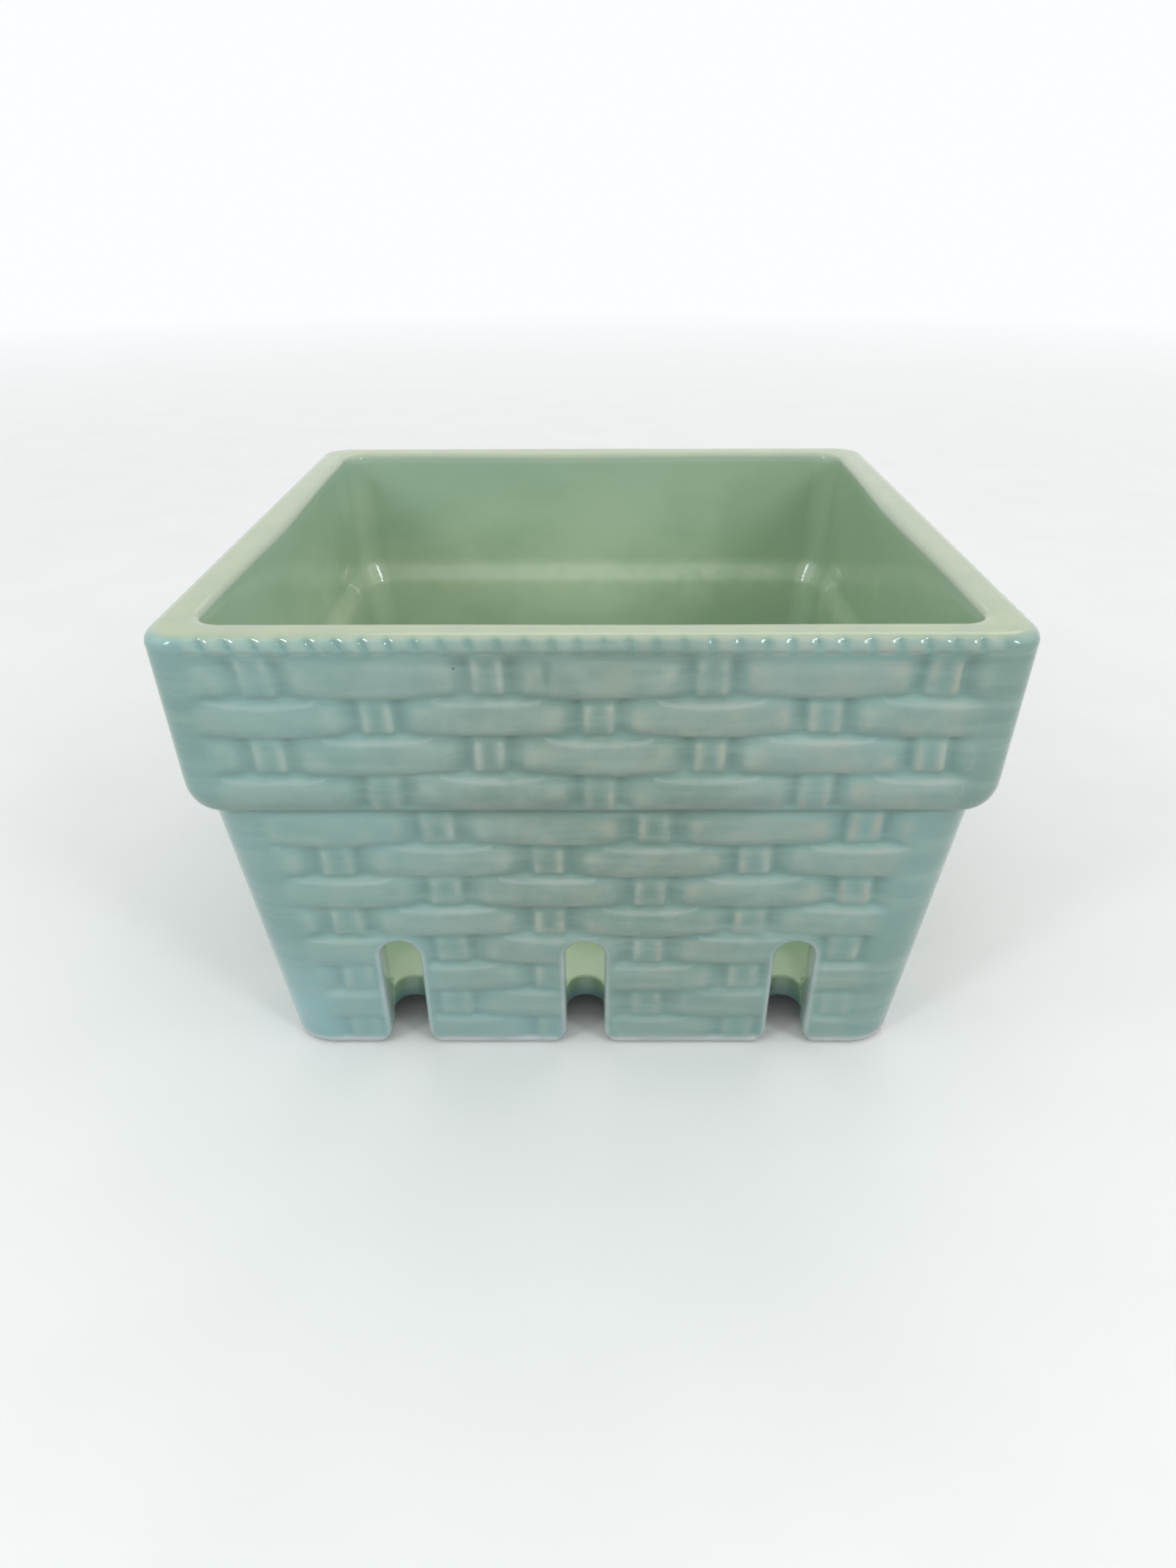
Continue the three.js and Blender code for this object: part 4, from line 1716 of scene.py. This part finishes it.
@dataclass(frozen=True)
class CeladonGlaze:
    """Glossy translucent glaze: deeper where it pools, paler where it runs thin, cream on the rim, with
    painted light, shade and highlights.
    """

    slot: Slot
    outside: tuple[int, int, int] = (121, 147, 137)
    # Painted light: lighter, cooler tone on the rounded corners and towards the feet, stronger on the left.
    corner: tuple[int, int, int] = (134, 174, 176)
    pooled: tuple[int, int, int] = (99, 134, 129)
    # Pale tone, also used for the painted highlight lines.
    thin: tuple[int, int, int] = (158, 183, 174)
    warm: tuple[int, int, int] = (164, 171, 157)
    cream: tuple[int, int, int] = (164, 174, 145)
    cream_shade: tuple[int, int, int] = (159, 170, 143)
    inside: tuple[int, int, int] = (172, 190, 162)
    inside_deep: tuple[int, int, int] = (147, 170, 141)
    inside_cool: tuple[int, int, int] = (154, 182, 163)
    # Paler inside tone, also used for the painted light on the inner step.
    inside_thin: tuple[int, int, int] = (192, 205, 174)
    # Pale edge colour: thin-glaze lines at the slot edges, and painted highlight lines on the ledges and
    # feet.
    edge: tuple[int, int, int] = (216, 216, 221)
    speck: tuple[int, int, int] = (62, 60, 50)
    clouds: float = 26.0
    patches: float = 140.0
    wear: float = 210.0
    gloss: float = 90.0
    strokes: float = 330.0
    ripples: float = 55.0
    roughness: float = 0.1
    refraction: float = 1.5
    ripple: float = 0.12
    ripple_height: float = 0.0012
    stroke_height: float = 0.16
    streaks: float = 0.22
    coat: float = 0.25
    coat_roughness: float = 0.04
    speck_cells: float = 105.0
    speck_size: float = 0.022
    speck_rarity: float = 0.8
    speck_share: float = 0.75

    def material(self) -> bpy.types.Material:
        """Builds the material.

        Returns:
            The node material.
        """
        material, bench, shader = new_material(self.slot.value)
        bench.wire(self._colour(bench), shader.inputs["Base Color"])
        gloss = bench.noise(self.gloss)
        rough = bench.window(gloss, 0.3, 0.7, self.roughness - 0.02, self.roughness + 0.05)
        bench.wire(rough, shader.inputs["Roughness"])
        shader.inputs["IOR"].default_value = self.refraction
        shader.inputs["Coat Weight"].default_value = self.coat
        shader.inputs["Coat Roughness"].default_value = self.coat_roughness
        bench.wire(self._surface(bench), shader.inputs["Normal"])
        return material

    def _colour(self, bench: NodeBench) -> Socket:
        """The glaze's colour from its tones, with cloudy variation, a few specks, and painted light, shade
        and highlight lines.

        Args:
            bench: Where the nodes are laid out.

        Returns:
            The colour.
        """
        pool, inner = bench.tone(Tone.POOL), bench.tone(Tone.INNER)
        deep = bench.times(pool, 1.0, clamp=True)
        bare = bench.times(pool, -1.0, clamp=True)
        cloud = bench.noise(self.clouds, 3.0)
        patchy = bench.noise(self.patches, 4.0)
        # Painted light towards the corners, the feet and the left side.
        body = bench.blend(self._toward_corners(bench), self.outside, self.corner)
        body = bench.blend(bench.window(cloud, 0.35, 0.68, 0.0, 0.6), body, self._tinted(self.outside))
        across = bench.along("X")
        # Pooled tone in the grooves, with less of it on the left side as painted light there.
        pooling_and_left_light = bench.times(deep, bench.window(across, -0.05, 0.0, 0.42, 0.7), clamp=True)
        body = bench.blend(pooling_and_left_light, body, self.pooled)
        strokes = bench.window(self._drawn(bench), 0.45, 0.72, 0.0, 0.4)
        body = bench.blend(strokes, body, self.thin)
        sunned = bench.window(across, -0.04, 0.0, 0.1, 1.0)
        warmth = bench.times(sunned, bench.window(patchy, 0.35, 0.6, 0.45, 1.0))
        pale = bench.blend(warmth, self.thin, self.warm)
        worn = bench.window(bench.noise(self.wear, 3.0), 0.34, 0.6, 0.3, 1.15)
        # Paler where glaze runs thin; on the ledges this is also painted light.
        body = bench.blend(bench.times(bare, worn, clamp=True), body, pale)
        # Painted highlight lines along the weave.
        body = bench.blend(self._streak(bench, pool), body, self.thin)
        # Brushed blotches, and painted shade on the inner right wall.
        inside = bench.blend(self._brushed(bench), self.inside, self.inside_deep)
        inside = bench.blend(bench.times(deep, 0.7, clamp=True), inside, self.inside_deep)
        # Paler where glaze runs thin, and painted light on the inner step.
        inside = bench.blend(bench.times(bare, worn, clamp=True), inside, self.inside_thin)
        inside = bench.blend(self._towards_rim(bench), inside, self.inside_cool)
        body = bench.blend(inner, body, inside)
        cream = bench.blend(bench.window(patchy, 0.4, 0.62), self.cream, self.cream_shade)
        body = bench.blend(bench.tone(Tone.CREAM), body, cream)
        # Pale edge lines, partly glaze run thin, partly painted highlight.
        edge_line_and_highlight = bench.times(bench.tone(Tone.EDGE), bench.window(patchy, 0.3, 0.6, 0.55, 1.0))
        body = bench.blend(edge_line_and_highlight, body, self.edge)
        return bench.blend(self._specks(bench), body, self.speck)

    def _toward_corners(self, bench: NodeBench) -> Socket:
        """Share of the lighter, cooler tone painted towards the upright corners and the feet, stronger on the
        left side: painted light and reflection that the rounded corners and the left side catch.

        Args:
            bench: Where the nodes are laid out.

        Returns:
            The share.
        """
        across = bench.along("X")
        sideways = bench.math("ABSOLUTE", across)
        nearest = bench.math("MINIMUM", sideways, bench.math("ABSOLUTE", bench.along("Y")))
        reach = bench.window(nearest, 0.012, 0.05)
        low = bench.window(bench.along("Z"), 0.035, 0.0, 0.0, 0.6)
        # Painted light from the left: more of the corner tone on the left side.
        painted_left_light = bench.window(across, -0.03, 0.05, 1.0, 0.42)
        return bench.times(bench.math("MAXIMUM", reach, low), painted_left_light)

    def _towards_rim(self, bench: NodeBench) -> Socket:
        """Share of the cooler tone that the glaze takes on inside, up under the rim.

        Args:
            bench: Where the nodes are laid out.

        Returns:
            The share.
        """
        rise = bench.window(bench.along("Z"), 0.06, 0.082, 0.0, 0.75)
        rise = bench.times(rise, bench.window(bench.along("X"), 0.0, 0.05, 1.0, 0.25))
        return bench.times(rise, bench.window(bench.noise(32.0, 2.0), 0.35, 0.62, 0.25, 1.0))

    def _streak(self, bench: NodeBench, pool: Socket) -> Socket:
        """Fine painted highlight lines, which follow the forms of the weave.

        Args:
            bench: Where the nodes are laid out.
            pool: Where glaze gathers or has run off.

        Returns:
            The share.
        """
        stretched = bench.scaled((0.3, 0.3, 1.0))
        sway = bench.times(bench.noise(190.0, 2.0, stretched), 0.35)
        off = bench.math("ABSOLUTE", bench.math("SUBTRACT", bench.math("ADD", pool, sway), 0.05))
        line = bench.window(off, 0.0, 0.03, 1.0, 0.0)
        kept = bench.window(bench.noise(75.0, 2.0), 0.47, 0.6)
        return bench.times(bench.times(line, kept), self.streaks)

    def _brushed(self, bench: NodeBench) -> Socket:
        """Blotches of the glaze brushed round the inside of the box, with painted shade on the inner right
        wall.

        Args:
            bench: Where the nodes are laid out.

        Returns:
            The share of the deeper tone.
        """
        level = bench.scaled((0.7, 0.7, 1.2))
        runs = bench.window(bench.noise(55.0, 4.0, level), 0.4, 0.6)
        clouds = bench.window(bench.noise(22.0, 2.0), 0.35, 0.65)
        # Painted shade: more of the deeper tone on the inner right wall.
        aside = bench.window(bench.along("X"), 0.03, 0.056, 0.0, 1.6)
        blotches = bench.math("ADD", bench.math("ADD", runs, clouds), aside)
        return bench.times(blotches, 0.5, clamp=True)

    def _tinted(self, colour: tuple[int, int, int]) -> tuple[int, int, int]:
        """A slightly greener and darker neighbour of a colour."""
        red, green, blue = colour
        return red - 9, green - 5, blue - 9

    def _specks(self, bench: NodeBench) -> Socket:
        """A few dark pinpricks of iron in the glaze.

        Args:
            bench: Where the nodes are laid out.

        Returns:
            The share.
        """
        cells = bench.add("ShaderNodeTexVoronoi")
        cells.inputs["Scale"].default_value = self.speck_cells
        bench.wire(bench.place, cells.inputs["Vector"])
        near = bench.math("LESS_THAN", cells.outputs["Distance"], self.speck_size)
        apart = bench.add("ShaderNodeSeparateColor")
        bench.wire(cells.outputs["Color"], apart.inputs[0])
        rare = bench.math("GREATER_THAN", apart.outputs[0], self.speck_rarity)
        return bench.times(bench.times(near, rare), self.speck_share)

    def _drawn(self, bench: NodeBench) -> Socket:
        """Fine strokes along the strands, as a brush leaves them."""
        stretched = bench.scaled((0.14, 0.14, 1.2))
        return bench.noise(self.strokes, 3.0, stretched)

    def _surface(self, bench: NodeBench) -> Socket:
        """Low ripples of run glaze, and fine lines drawn along the strands.

        Args:
            bench: Where the nodes are laid out.

        Returns:
            The bumped normal.
        """
        ripple = bench.noise(self.ripples, 1.5)
        height = bench.math("MULTIPLY_ADD", self._drawn(bench), self.stroke_height)
        bench.wire(ripple, height.node.inputs[2])
        bump = bench.add("ShaderNodeBump")
        bump.inputs["Strength"].default_value = self.ripple
        bump.inputs["Distance"].default_value = self.ripple_height
        bench.wire(height, bump.inputs["Height"])
        return bump.outputs["Normal"]


# The camera, lamps and floor of the studio


def put(data: bpy.types.ID) -> bpy.types.Object:
    """Puts a new object into the scene, named like its data.

    Args:
        data: What the object shows.

    Returns:
        The object.
    """
    thing = bpy.data.objects.new(data.name, data)
    bpy.context.scene.collection.objects.link(thing)
    return thing


@dataclass(frozen=True)
class PhotoCamera:
    """A camera where the photographer stood, in millimetres and degrees."""

    lens: float = 24.98
    sensor: float = 36.0
    place: tuple[float, float, float] = (0.34, -213.75, 141.4)
    pitch: float = 28.5
    yaw: float = -0.33
    roll: float = -0.21

    def build(self) -> bpy.types.Object:
        """Adds the camera and makes it the scene's.

        Returns:
            The camera.
        """
        data = bpy.data.cameras.new("photo_camera")
        data.lens = self.lens
        data.sensor_width = self.sensor
        data.clip_start, data.clip_end = 0.01, 20.0
        camera = put(data)
        pitch, yaw, roll = (math.radians(angle) for angle in (self.pitch, self.yaw, self.roll))
        ahead = Vector((math.sin(yaw) * math.cos(pitch), math.cos(yaw) * math.cos(pitch), -math.sin(pitch)))
        level = Vector((math.cos(yaw), -math.sin(yaw), 0.0))
        above = level.cross(ahead)
        right = level * math.cos(roll) + above * math.sin(roll)
        up = above * math.cos(roll) - level * math.sin(roll)
        camera.matrix_world = Matrix((right, up, -ahead)).transposed().to_4x4()
        camera.location = Vector(self.place) * MM
        bpy.context.scene.camera = camera
        return camera


@dataclass(frozen=True)
class SoftLamp:
    """A square or oblong soft lamp, in metres and watts, aimed at the middle of the box."""

    name: str
    place: tuple[float, float, float]
    width: float
    height: float
    power: float
    colour: tuple[float, float, float] = (1.0, 1.0, 1.0)

    def build(self) -> bpy.types.Object:
        """Adds the lamp.

        Returns:
            The lamp.
        """
        data = bpy.data.lights.new(self.name, "AREA")
        data.shape = "RECTANGLE"
        data.size, data.size_y = self.width, self.height
        data.energy = self.power
        data.color = self.colour
        lamp = put(data)
        lamp.location = self.place
        lamp.rotation_euler = (Vector(LAMP_AIM) - lamp.location).to_track_quat("-Z", "Y").to_euler()
        return lamp


@dataclass
class Studio:
    """Pale floor, soft lamps and an even surround."""

    surround: float = 0.8
    white: tuple[float, float, float, float] = (0.97, 0.99, 1.0, 1.0)
    floor_tone: tuple[int, int, int] = (226, 226, 224)
    floor_bounce: tuple[int, int, int] = (158, 154, 150)
    floor_size: float = 6.0
    floor_roughness: float = 0.55
    grain: float = 30.0
    fade_start: float = 0.35
    fade_end: float = 1.4
    lamps: tuple[SoftLamp, ...] = (
        SoftLamp("window_left", (-0.58, -0.64, 0.55), 0.12, 0.27, 1.5, (0.93, 0.98, 1.0)),
        SoftLamp("window_right", (0.56, -0.66, 0.56), 0.15, 0.3, 1.9, (0.93, 0.98, 1.0)),
        SoftLamp("overhead", (0.0, -0.35, 0.95), 0.8, 0.8, 1.0, (1.0, 0.99, 0.96)),
        SoftLamp("left_fill", (-1.4, -0.5, 1.0), 1.8, 1.3, 4.1, (0.82, 0.98, 1.0)),
        SoftLamp("right_fill", (1.4, -0.3, 1.0), 1.8, 1.3, 3.8, (1.0, 1.0, 0.96)),
        SoftLamp("back_fill", (0.2, 1.2, 1.2), 1.2, 0.9, 2.4, (1.0, 0.99, 0.96)),
    )

    def build(self) -> None:
        """Adds the floor, the lamps and the surround, and sets the view."""
        scene = bpy.context.scene
        scene.view_settings.view_transform = "Standard"
        self._surround(scene)
        self._floor()
        for lamp in self.lamps:
            lamp.build()

    def _surround(self, scene: bpy.types.Scene) -> None:
        """An even pale world that looks white where the camera or a reflection meets it.

        Args:
            scene: The scene.
        """
        world = bpy.data.worlds.new("surround")
        scene.world = world
        world.use_nodes = True
        bench = NodeBench(world.node_tree)
        background = world.node_tree.nodes["Background"]
        background.inputs["Color"].default_value = self.white
        seen = self._direct_rays(bench)
        strength = bench.window(seen, 0.0, 1.0, self.surround, 1.0)
        bench.wire(strength, background.inputs["Strength"])

    def _direct_rays(self, bench: NodeBench) -> Socket:
        """1 for what the camera sees directly, or in a reflection, or through something clear.

        Args:
            bench: Where the nodes are laid out.

        Returns:
            The share.
        """
        path = bench.add("ShaderNodeLightPath")
        shown = bench.math("MAXIMUM", path.outputs["Is Camera Ray"], path.outputs["Is Glossy Ray"])
        return bench.math("MAXIMUM", shown, path.outputs["Is Transmission Ray"])

    def _floor(self) -> None:
        """A wide pale floor under the feet."""
        deselect()
        bpy.ops.mesh.primitive_plane_add(size=self.floor_size, location=(0.0, 0.0, 0.0))
        floor = bpy.context.object
        floor.name = "studio_floor"
        material, bench, shader = new_material("studio_floor")
        grain = bench.window(bench.noise(self.grain, 3.0), 0.3, 0.7)
        red, green, blue = self.floor_tone
        tone = bench.blend(grain, self.floor_tone, (red + 3, green + 3, blue + 3))
        tone = bench.blend(self._direct_rays(bench), self.floor_bounce, tone)
        bench.wire(tone, shader.inputs["Base Color"])
        shader.inputs["Roughness"].default_value = self.floor_roughness
        away = bench.add("ShaderNodeVectorMath", operation="LENGTH")
        bench.wire(bench.place, away.inputs[0])
        faded = bench.window(away.outputs["Value"], self.fade_start, self.fade_end)
        far = bench.times(faded, self._direct_rays(bench))
        white = bench.add("ShaderNodeEmission")
        white.inputs["Color"].default_value = self.white
        mixed = bench.add("ShaderNodeMixShader")
        bench.wire(far, mixed.inputs[0])
        bench.wire(shader.outputs[0], mixed.inputs[1])
        bench.wire(white.outputs[0], mixed.inputs[2])
        bench.wire(mixed.outputs[0], material.node_tree.nodes["Material Output"].inputs["Surface"])
        floor.data.materials.append(material)


# The whole box


@dataclass
class BerryBox:
    """All the pieces of the casting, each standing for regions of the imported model."""

    sizes: BoxSizes = BoxSizes()

    def __post_init__(self) -> None:
        """Makes the finishes."""
        glazes = {slot: CeladonGlaze(slot) for slot in Slot}
        glazes[Slot.FLOOR] = CeladonGlaze(
            Slot.FLOOR,
            # Darker, bluer pooled tone for the slab's sides, partly painted shade.
            pooled=(86, 126, 134),
            # Paler inside tones for the floor's top: painted light on the floor seen through the slots.
            inside=(188, 211, 172),
            inside_deep=(160, 188, 150),
        )
        glazes[Slot.RIM] = CeladonGlaze(Slot.RIM, coat=0.0)
        # Stronger painted corner light on the lower wall.
        glazes[Slot.WALL] = CeladonGlaze(Slot.WALL, corner=(149, 193, 198))
        self.finishes = {slot: glaze.material() for slot, glaze in glazes.items()}

    def _dress(self, piece: bpy.types.Object, slot: Slot, regions: list[str]) -> None:
        """Gives a piece its glaze and says which regions it stands for.

        Args:
            piece: The piece.
            slot: Its material slot.
            regions: Names of the regions.
        """
        piece.data.materials.clear()
        piece.data.materials.append(self.finishes[slot])
        faces = piece.data.polygons
        faces.foreach_set("material_index", np.zeros(len(faces), np.int32))
        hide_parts(*regions)
        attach(piece, "root")
        triangles = sum(len(face.vertices) - 2 for face in faces)
        log.info("%s stands for %s, %d triangles", piece.name, ", ".join(regions), triangles)

    def build(self) -> None:
        """Builds and dresses every piece."""
        self._dress(FloorSlab(self.sizes).build(), Slot.FLOOR, ["floor_slab"])
        fronts = {"woven_wall_front": LowerWall(self.sizes).build(), **UpperSide(self.sizes).build()}
        feet = [f"foot_{{0}}_{number}" for number in range(1, 5)]
        kinds = {
            "woven_wall": (Slot.WALL, ["lower_wall_{0}", *feet]),
            "woven_collar": (Slot.COLLAR, ["collar_{0}"]),
            "rope_edging_beads": (Slot.ROPE, ["rope_edging_{0}"]),
            "smooth_rim": (Slot.RIM, ["rim_{0}"]),
        }
        for kind, (slot, regions) in kinds.items():
            front = fronts[f"{kind}_front"]
            copies = [turned_copy(front, side, f"{kind}_{side.place}") for side in list(Side)[1:]]
            for side, piece in zip(Side, [front, *copies]):
                self._dress(piece, slot, [region.format(side.place) for region in regions])


def main() -> None:
    """Builds the box, then the studio round it."""
    logging.basicConfig(level=logging.INFO, format="%(message)s")
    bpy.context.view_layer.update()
    PhotoCamera().build()
    BerryBox().build()
    Studio().build()


if __name__ == "__main__":
    main()
